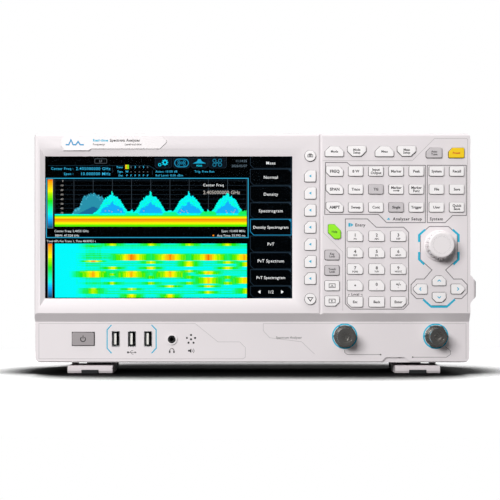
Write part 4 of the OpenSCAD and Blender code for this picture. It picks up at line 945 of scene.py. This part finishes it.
def print_badge():
    """Generic print: a blue trace with two peaks and what the instrument is."""
    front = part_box("badge_plate")[0].y
    y0, y1 = front - PRINT, front + PRINT_ROOT
    z = mm(TOP) - 6.6                      # middle line of the upper words
    trace, cyan, dark = Builder(), Builder(), Builder()
    steps = [(0, 0), (3, 0), (5, 4.6), (7, 0), (9.5, 0), (11.5, 3.0), (13.5, 0), (17, 0)]
    trace.ribbon([(x - 175.6, z - 4.2 + rise) for x, rise in steps], 1.3, y0, y1)
    cyan.letters("Real-time", -150.4, z, 2.5, y0, y1, align="LEFT", bold=5.0, spread=1.06)
    dark.letters("Spectrum Analyzer", -134.6, z, 2.5, y0, y1, align="LEFT", bold=5.0, spread=1.06)
    dark.letters("Frequency", -150.4, z - 3.8, 1.8, y0, y1, align="LEFT", bold=4.0, spread=1.06)
    dark.letters("Level and time", -105.2, z - 3.8, 1.8, y0, y1, align="RIGHT", bold=4.0, spread=1.06)
    trace.piece("badge_trace", "blue_ink", "case")
    cyan.piece("badge_print_cyan", "cyan_ink", "case")
    dark.piece("badge_print_dark", "grey_ink", "case")


def print_knob():
    """Fine ticks round the knob's front."""
    x, z = centre("knob")
    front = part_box("knob")[0].y + 0.25 * MM
    count = 40
    ticks = Builder()
    for i in range(count):
        a = math.radians(360 / count * i)
        radii = (7.2, 8.4 if i % 2 else 8.9)
        ticks.ribbon([(x + r * math.cos(a), z + r * math.sin(a)) for r in radii], 0.16,
                     front - PRINT, front + PRINT_ROOT)
    ticks.piece("knob_ticks", "pale_ink", "knob")


print_face_lines()
print_badge()
print_knob()
lay_speaker_cloth()
paint_power_button_gap_shade()
fit_usb_tongues()
fit_headphone_jack_rim()
print_strip_lines()


# Screen picture -----------------------------------------------------------------------------------

LAYER = 0.03 * MM                          # step from one layer of the picture to the next
PLATE = 0.02 * MM                          # thickness of its plates


class Picture:
    """Lit picture of thin coloured plates, in millimetres right of and down from its top left corner."""

    def __init__(self, left, top, y):
        self.left, self.top, self.y = left, top, y
        self.verts, self.faces, self.tones = [], [], []

    def add(self, verts, faces, code):
        """Adds faces of one colour, given as hex or as linear red, green, blue and alpha."""
        start = len(self.verts)
        self.verts += verts
        self.faces += [[start + i for i in face] for face in faces]
        self.tones += [linear(code) if isinstance(code, str) else code] * len(faces)

    def shape(self, points, code, level=0):
        """Closed plate with this outline; a higher level lies further forward."""
        n = len(points)
        if sum(p[0] * q[1] - q[0] * p[1] for p, q in zip(points, points[1:] + points[:1])) > 0:
            points = points[::-1]
        front = self.y - level * LAYER
        verts = [((self.left + u) * MM, y, (self.top - v) * MM)
                 for y in (front, front + PLATE) for u, v in points]
        sides = [[(i + 1) % n, i, i + n, (i + 1) % n + n] for i in range(n)]
        self.add(verts, [list(range(n)), list(range(n, 2 * n))[::-1]] + sides, code)

    def rect(self, u0, v0, u1, v1, code, level=0):
        """Closed rectangular plate."""
        self.shape([(u0, v1), (u1, v1), (u1, v0), (u0, v0)], code, level)

    def line(self, points, width, code, level=1, closed=False):
        """Chain of mitred strips."""
        ends = [(p + n, p - n) for p, n in mitred(points, width, closed)]
        for a, b in zip(ends, ends[1:] + (ends[:1] if closed else [])):
            self.shape([a[0], a[1], b[1], b[0]], code, level)

    def words(self, text, u, v, height, code, align="LEFT", level=2, bold=0.0, spread=1.0):
        """Words whose capitals are height tall, with their middle line at v."""
        verts, faces = lettering(text, height, align, bold, spread, thick=PLATE / MM)
        middle = self.y - level * LAYER + PLATE / 2
        foot = self.top - v - height / 2
        self.add([((self.left + u + x) * MM, middle - w * MM, (foot + y) * MM) for x, y, w in verts],
                 faces, code)

    def piece(self, name):
        """Makes the plates one piece, and writes each one's colour on its corners."""
        mesh = bpy.data.meshes.new(name)
        mesh.from_pydata(self.verts, [], self.faces)
        layer = mesh.color_attributes.new("cell", "FLOAT_COLOR", "CORNER")
        tones = [tone for face, tone in zip(self.faces, self.tones) for _ in face]
        layer.data.foreach_set("color", [c for tone in tones for c in tone])
        return mesh_piece(name, mesh, "lit_cells", "case")


HEAT = ["#0B3C5C", "#1674A6", "#16B0FF", "#04FFFF", "#0CFFC0", "#19F56A", "#22EE08", "#A0F500",
        "#FFFF00", "#FFC810", "#FF8C00", "#FF5A00"]
STEP = 0.03                                # the analyzer draws its levels in steps


def heat(level):
    """Colour of a level from 0, cold, to 1, hot."""
    level = round(level / STEP) * STEP
    place = max(0.0, min(0.9999, level)) * (len(HEAT) - 1)
    i = int(place)
    a, b = linear(HEAT[i]), linear(HEAT[i + 1])
    return tuple(p + (q - p) * (place - i) for p, q in zip(a, b))


def along(points, place):
    """Height at a place on a curve given by points."""
    for (x0, y0), (x1, y1) in zip(points, points[1:]):
        if place <= x1:
            return y0 + (y1 - y0) * (place - x0) / (x1 - x0)
    return points[-1][1]


SCREEN_W, SCREEN_H = 229.7, 132.0
CYAN = "#3CC4F2"                           # settings at the top
WHITE = "#E6ECEE"                          # words under the plots
BRIGHT = "#FFFFFF"                         # words on the menu
SLATE = "#5F6F7A"                          # clock, and what is switched off
BUTTON_EDGE = "#22303C"
CHOSEN_EDGE = "#1E7FA8"
ICON_LIT = "#14DCFA"
ICON_BLUE = "#1A8FB8"
ICON_TEAL = "#1B7E9E"
GRID = "#3E4850"
GRID_FAINT = "#1C2832"
MENU = ["Meas", "Normal", "Density", "Spectrogram", "Density Spectrogram", "PvT", "PvT Spectrum",
        "PvT Spectrogram", "1/2"]
MENU_ROWS = [(-2.0, 10.9), (11.7, 26.6), (27.4, 42.4), (43.0, 57.7), (58.3, 73.0), (73.9, 88.8),
             (89.5, 104.5), (105.2, 119.9), (120.6, 131.2)]


def draw_menu(picture):
    """Column of buttons at the right, one of them chosen, and the page's number under them."""
    u0, u1 = 190.2, SCREEN_W - 1.4
    middle = (u0 + u1) / 2
    for text, (v0, v1) in zip(MENU, MENU_ROWS):
        chosen = text == "Density Spectrogram"
        edge = CHOSEN_EDGE if chosen else BUTTON_EDGE
        outline = [(u0, v1 - 3.2), (u0, v0), (u1, v0), (u1, v1), (u0 + 3.2, v1)]
        picture.shape(outline[::-1], "#010203", 1)
        picture.line(outline, 0.7 if chosen else 0.5, edge, 2, True)
        picture.shape([(u1, v0), (u1 - 3.0, v0), (u1, v0 + 3.0)], edge, 2)
        long = len(text) > 14
        v = (v0 + v1) / 2 + (1.4 if text == "Meas" else 0)
        size, spread = (2.7, 1.04) if long else (2.9, 1.1)
        picture.words(text, middle, v, size, BRIGHT, "CENTER", 3, 0.6, spread)
    for side in (-1, 1):
        tip, back = middle + side * 12, middle + side * 9.6
        picture.shape([(tip, v), (back, v + 1.7 * -side), (back, v + 1.7 * side)], BRIGHT, 3)


def draw_gear(picture, u, v, r, code):
    """Ring with eight teeth."""
    picture.line(circle(u, v, r * 0.62, 16), r * 0.34, code, 3, True)
    for i in range(8):
        a = math.radians(45 * i)
        picture.line([(u + r * 0.7 * math.cos(a), v + r * 0.7 * math.sin(a)),
                      (u + r * 1.1 * math.cos(a), v + r * 1.1 * math.sin(a))], r * 0.36, code, 3)


def draw_icons(picture):
    """Four tiles at the top: settings, keyboard, peak search and connections."""
    for u0, u1 in ((101.6, 117.0), (118.4, 134.0), (135.0, 150.2), (151.4, 168.0)):
        tile = [(u0, 1.3), (u1, 1.3), (u1, 9.0), (u1 - 1.6, 10.6), (u0 + 1.6, 10.6), (u0, 9.0)]
        picture.shape(tile[::-1], "#0C141C", 1)
        picture.line(tile, 0.35, "#1E2C38", 2, True)
    draw_gear(picture, 110.8, 5.4, 2.7, ICON_LIT)
    picture.line(circle(105.9, 7.6, 1.2, 12), 0.6, ICON_LIT, 3, True)
    pill = circle(123.4, 5.9, 3.6, 9, 90, 270) + circle(129.0, 5.9, 3.6, 9, -90, 90)
    picture.line(pill, 0.8, ICON_BLUE, 3, True)
    for du, dv in ((-2.6, -1.2), (2.6, -1.2), (-2.6, 1.4), (2.6, 1.4), (0, 0)):
        picture.line(circle(126.2 + du, 5.9 + dv, 1.0, 8), 0.5, ICON_BLUE, 3, True)
    hill = [(149.0, 6.4), (145.0, 4.4), (144.0, 2.4), (141.6, 2.4), (140.6, 4.4), (136.6, 6.4)]
    picture.shape(hill, "#1FA6CC", 3)
    picture.words("PEAK", 142.8, 8.4, 1.7, ICON_LIT, "CENTER", 3, 2.0)
    for du in (-2.6, 2.6):
        for dv in (-1.7, 2.1):
            picture.line(circle(159.4 + du, 5.5 + dv, 1.5, 12), 0.6, ICON_TEAL, 3, True)
    for dv in (-1, 1):
        picture.line([(157.9, 5.7 - 0.9 * dv), (160.9, 5.7 + 0.9 * dv)], 0.6, ICON_TEAL, 3)


def draw_header(picture):
    """Frequency settings, the table of traces and the clock."""
    for text, u, v, height, align in (
            ("Center Freq :", 25.6, 11.1, 2.4, "RIGHT"), ("2.405000000 GHz", 60.0, 11.1, 2.8, "RIGHT"),
            ("Span :", 25.6, 15.9, 2.4, "RIGHT"), ("10.000000 MHz", 60.0, 15.9, 2.8, "RIGHT"),
            ("Atten: 10.00 dB", 102.0, 13.8, 2.0, "LEFT"),
            ("Ref Level: 0.00 dBm", 102.0, 17.4, 2.0, "LEFT"),
            ("Trig: Free Run", 138.2, 13.8, 2.0, "LEFT")):
        picture.words(text, u, v, height, CYAN, align, 2, 0.3, 1.14)
    picture.words("11:14:35", 187.2, 4.0, 2.3, SLATE, "RIGHT", 2, 1.0)
    picture.words("2026/05/07", 187.2, 8.6, 2.3, SLATE, "RIGHT", 2, 1.0)
    for label, v in (("Trace", 9.8), ("Type", 13.9), ("Det", 17.5)):
        picture.words(label, 71.4, v, 1.8, CYAN, "RIGHT", 2, 2.0)
    picture.rect(73.8, 7.6, 75.6, 11.5, "#FFD21A", 2)
    picture.rect(75.6, 7.6, 77.2, 11.5, "#9BE61A", 2)
    for i in range(6):
        u = 75.4 + i * 3.84
        number_tone = "#101010" if i == 0 else (CYAN, SLATE)[i % 2]
        kind, kind_tone = ("W", CYAN) if i == 0 else ("-", "#9AA4AA")
        picture.words(str(i + 1), u, 9.6, 1.9, number_tone, "CENTER", 3, 2.0)
        picture.words(kind, u, 13.9, 1.9, kind_tone, "CENTER", 3, 3.0)
        picture.words("P", u, 17.5, 1.8, CYAN, "CENTER", 3, 2.0)
    picture.line([(2.0, 8.4), (95.6, 8.4), (102.2, 12.0)], 0.5, "#16323F")
    for u, v0, v1 in ((61.8, 10.4, 15.0), (99.0, 13.0, 17.0)):
        picture.line([(u, v0), (u, v1)], 0.5, BUTTON_EDGE)
    tag = [(46, 2.0), (56, 2.0), (56.6, 2.6), (56.6, 5.6), (56, 6.2), (46, 6.2), (45.4, 5.6), (45.4, 2.6)]
    picture.line(tag, 0.5, "#4A5055", 2, True)
    picture.words("LF", 51.0, 4.1, 2.2, "#6A7076", "CENTER", 2, 2.0)


def colour_bar(picture, u0, u1, v0, v1):
    """Key to the levels' colours, hot at the top."""
    rows = 26
    for i in range(rows):
        upper = v0 + (v1 - v0) * i / rows
        lower = v0 + (v1 - v0) * (i + 1) / rows
        picture.rect(u0, upper, u1, lower, heat(0.92 - 0.88 * i / (rows - 1)), 2)
    picture.line([(u0, v0), (u1, v0), (u1, v1), (u0, v1)], 0.3, "#7E868C", 3, True)


PLOT = (8.2, 20.9, 186.9, 66.5)            # left, top, right and bottom of the spectrum
NOISE_TOP = 54.3
DIVISION = (PLOT[2] - PLOT[0]) / 10
# Height over the noise against the distance from the middle of a peak, in millimetres
PEAK = [(0, 22.6), (0.7, 20.6), (1.8, 18.4), (4.4, 17.2), (7.7, 14.2), (9.5, 11.6), (11.5, 7.6),
        (14, 4.4), (17, 2), (20, 0.6)]
DOME = [(0, 21), (1.4, 20), (5, 19), (9, 17), (11, 12.5), (12.5, 8), (16, 6.8), (17.5, 5.5), (20, 0.5)]
HUMP = [(0, 5.2), (3, 3.6), (7, 3.2), (12, 1.8), (18, 0.6)]
CORE = [(0, 13.5), (2, 9.5), (6, 7.5), (9, 5.5), (11, 2), (13, 0)]
PEAK_PLACES = (3, 5, 7, 9)                 # divisions of the grid at which peaks and humps stand
HUMP_PLACES = (4, 6, 8, 10)
DOME_PLACE = 2
CELL = 0.85                                # side of one square of the density plot
# Depth of the cold floor across the plot, by its distance from the left
FLOOR_DEPTH = [(0, 0), (1.8 * DIVISION, 0), (4.2 * DIVISION, 1.5), (10 * DIVISION, 4.2)]
# Bands of the noise, in millimetres below its top, with their levels
NOISE = [(0.0, 0.36), (0.5, 0.52), (1.5, 0.66), (2.0, 0.73), (3.3, 0.82), (3.7, 0.91), (6.6, 0.78),
         (7.2, 0.73), (8.8, 0.64), (9.4, 0.57), (10.8, 0.0)]


def draw_grid(picture):
    """Frame, grid lines and the scale at the left."""
    left, top, right = PLOT[:3]
    picture.line([(0.4, 20.2), (188.2, 20.2), (188.2, 75.3), (0.4, 75.3)], 0.8, "#2FA3C8", 2, True)
    for i in range(11):
        u = left + i * DIVISION
        picture.line([(u, top), (u, NOISE_TOP)], 0.35, GRID, 1)
        picture.line([(u, 66.4), (u, 67.0)], 0.35, GRID, 1)
    for i in range(8):
        v = 22.5 + i * 4.26
        picture.line([(left, v), (right, v)], 0.35, GRID_FAINT, 1)
        picture.words(str(-10 * i), 16.2, v, 1.7, "#A8A29C", "RIGHT", 3, 2.0)


def draw_dome(picture, rng, u, middle):
    """One column of the wide faint signal."""
    off = abs(middle - DOME_PLACE * DIVISION)
    dome = along(DOME, off) * (1 + 0.05 * rng.uniform(-1, 1))
    dome = dome if 0.8 * DIVISION < middle < 3.1 * DIVISION else 0.0
    for j in range(int(dome / CELL)):
        tone = "#1A6A9A" if j * CELL < 7.5 - off * 0.5 else "#2A93AC"
        if j * CELL > dome - 4 and rng.random() < 0.2:
            tone = "#54BCD2"
        picture.rect(u, NOISE_TOP - (j + 1) * CELL, u + CELL, NOISE_TOP - j * CELL, tone, 2)


def draw_peaks(picture, rng, u, middle):
    """One column of the peaks and of the humps between them, coldest in the middle of a peak."""
    peak = max(along(PEAK, abs(middle - place * DIVISION + 0.3)) for place in PEAK_PLACES)
    peak *= 1 + (0.05 if peak > 2 else 0) * rng.uniform(-1, 1)
    hump = max(along(HUMP, abs(middle - place * DIVISION)) for place in HUMP_PLACES)
    hump = hump * rng.uniform(0.8, 1.1) if middle > 2.2 * DIVISION else rng.uniform(0, 0.9)
    core = along(CORE, min(abs(middle - place * DIVISION) for place in PEAK_PLACES))
    for j in range(max(1, int(max(peak, hump) / CELL))):
        z = j * CELL
        in_core = 0.9 < z < core * rng.uniform(0.85, 1.1)
        level = 0.175 if in_core else 0.26 + rng.uniform(-0.02, 0.09)
        if z < along(FLOOR_DEPTH, middle) - core:
            level = 0.35 + 0.13 * middle / (PLOT[2] - PLOT[0])
        picture.rect(u, NOISE_TOP - z - CELL, u + CELL, NOISE_TOP - z, heat(level), 3)
    if peak > 12 and rng.random() < 0.22:
        v = NOISE_TOP - CELL * rng.randint(2, 5)
        picture.rect(u, v - CELL, u + CELL, v, "#B7A79C", 4)


def draw_noise(picture):
    """Level bands of the noise floor, each in two steps of colour."""
    left, right = PLOT[0], PLOT[2]
    steps = 2
    for (a, level), (b, after) in zip(NOISE, NOISE[1:]):
        for k in range(steps):
            tone = heat(level + (after - level) * (k / steps if after > 0 else 0))
            v0 = NOISE_TOP + a + (b - a) * k / steps
            v1 = NOISE_TOP + a + (b - a) * (k + 1) / steps
            picture.rect(left, v0, right, v1, tone, 3)


def draw_spectrum(picture):
    """Density spectrum: peaks, humps and noise over a grid, with its settings in words."""
    draw_grid(picture)
    left, right = PLOT[0], PLOT[2]
    rng = random.Random(7)
    for i in range(int((right - left) / CELL)):
        u = left + i * CELL
        middle = u + CELL / 2 - left
        draw_dome(picture, rng, u, middle)
        draw_peaks(picture, rng, u, middle)
    draw_noise(picture)
    picture.words("Center Freq", 146.2, 26.4, 2.5, BRIGHT, level=5, bold=0.6, spread=1.12)
    picture.words("2.405000000 GHz", 146.2, 33.2, 3.4, "#C8C0B8", level=2)
    for text, u, v, align in (
            ("Center Freq: 2.4050 GHz", 7.8, 69.2, "LEFT"), ("RBW: 47.528 kHz", 8.6, 73.4, "LEFT"),
            ("Span: 10.000 MHz", 185.6, 69.2, "RIGHT"), ("Acq Time: 33.992 ms", 185.6, 73.4, "RIGHT")):
        picture.words(text, u, v, 2.1, WHITE, align, 2, 0.5, 1.06)
    picture.shape(circle(155.8, 73.4, 0.8, 10), "#FF8C00", 3)
    colour_bar(picture, 1.5, 6.5, 21.1, 66.6)


GRAM = (8.3, 80.9, 187.0, 131.2)           # left, top, right and bottom of the spectrogram
# Level against the distance from the middle of a burst, in divisions of the grid
BURST = [(0, 1.0), (0.05, 0.90), (0.17, 0.84), (0.30, 0.76), (0.44, 0.66), (0.70, 0.60), (1.0, 0.46),
         (1.3, 0.28)]
BURST_FOOT = 0.28                          # level at the end of that curve
BURSTS = [                                 # first and last millimetre, divisions, strength and width
    (81.0, 83.1, (3, 5, 7, 9), 0.76, 0.60), (83.4, 84.6, (2,), 0.58, 0.60),
    (90.9, 96.6, (4, 6, 8), 0.98, 1.0), (90.9, 96.6, (9.85,), 0.90, 0.9),
    (96.8, 98.2, (2,), 0.98, 0.60), (97.0, 99.6, (5, 7, 9), 0.76, 0.62),
    (98.2, 102.5, (10,), 0.84, 0.50), (99.4, 102.6, (7,), 0.78, 0.62),
    (102.5, 105.2, (3, 5, 9), 0.78, 0.66), (105.5, 107.8, (7,), 0.76, 0.50),
    (106.8, 112.5, (2, 4, 6), 0.88, 0.95), (106.8, 109.8, (8,), 0.86, 0.66),
    (108.6, 111.0, (3,), 0.70, 0.45), (111.0, 113.7, (5, 7, 9), 0.64, 0.60),
    (112.4, 118.2, (8, 9.9), 0.86, 0.80), (116.3, 119.4, (3, 5, 7, 9), 0.70, 0.60),
    (119.6, 121.8, (6, 8), 0.80, 0.66), (122.2, 127.6, (2,), 0.72, 0.66),
    (122.2, 124.6, (4,), 0.76, 0.60), (122.2, 127.6, (9.95,), 0.72, 0.60),
    (124.8, 127.4, (8,), 0.76, 0.60), (128.3, 131.2, (4, 6), 0.80, 0.60)]


def gram_level(u, v, row_tone):
    """Level of the spectrogram at u across, in divisions, and v down, in millimetres."""
    level = 0.27                           # cold background
    if u > 1.05:                           # from here on, one row is warmer than another
        level += row_tone * min(1.0, (u - 1.05) / 0.6)
    if 1.6 < u < 2.4:                      # faint column of the wide signal
        level += 0.05
    for top, low, places, strength, width in BURSTS:
        if top <= v < low:
            for place in places:
                share = (along(BURST, abs(u - place) / width) - BURST_FOOT) / 0.72
                level = max(level, BURST_FOOT + (strength - BURST_FOOT) * share)
    return level


def draw_spectrogram(picture):
    """Waterfall of levels over time: rows of strips, one strip for each run of equal colour."""
    left, top, right, bottom = GRAM
    rng = random.Random(11)
    across, down = 200, 96                 # strips in a row, and rows
    grain_h = 5.4                          # height of a stretch of rows with the same grain
    grain = [[rng.uniform(-1, 1) for _ in range(across)] for _ in range(12)]
    for j in range(down):
        v0 = top + (bottom - top) * j / down
        v1 = top + (bottom - top) * (j + 1) / down
        row_tone = rng.choice((0.0, 0.0, 0.03, 0.06, 0.12, 0.17))
        streak = grain[int((v0 - top) / grain_h)]
        start, held = left, None
        for i in range(across + 1):
            u = 10 * (i + 0.5) / across
            level = None
            if i < across:
                level = gram_level(u, (v0 + v1) / 2, row_tone)
                level += (0.035 if level > 0.4 else 0.012 if u > 1.1 else 0) * streak[i]
                level = round(level / STEP) * STEP
            if held is not None and level != held:
                edge = left + (right - left) * i / across
                picture.rect(start, v0, edge, v1, heat(held), 2)
                start = edge
            held = level
    picture.words("Total APs For Trace 1, Time 48.89921 s", 0.8, 78.6, 2.0, WHITE, "LEFT", 2, 0.5, 1.02)
    colour_bar(picture, 1.8, 5.9, top, bottom)


def draw_screen():
    """The whole picture, on a black plate behind the glass."""
    low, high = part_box("display_glass")
    lap = (mm(high.x - low.x) - SCREEN_W) / 2     # the glass reaches this far past the window
    shift = 0.5                            # the picture sits this far to the right of the window's edge
    rim = 1.5                              # and the black plate reaches this far round it
    picture = Picture(mm(low.x) + lap + shift, mm(high.z) - lap, high.y - 0.02 * MM)
    picture.rect(-rim, -rim, SCREEN_W + rim, SCREEN_H + rim, "#000000")
    draw_menu(picture)
    draw_header(picture)
    draw_icons(picture)
    draw_spectrum(picture)
    draw_spectrogram(picture)
    picture.piece("screen_picture")


draw_screen()
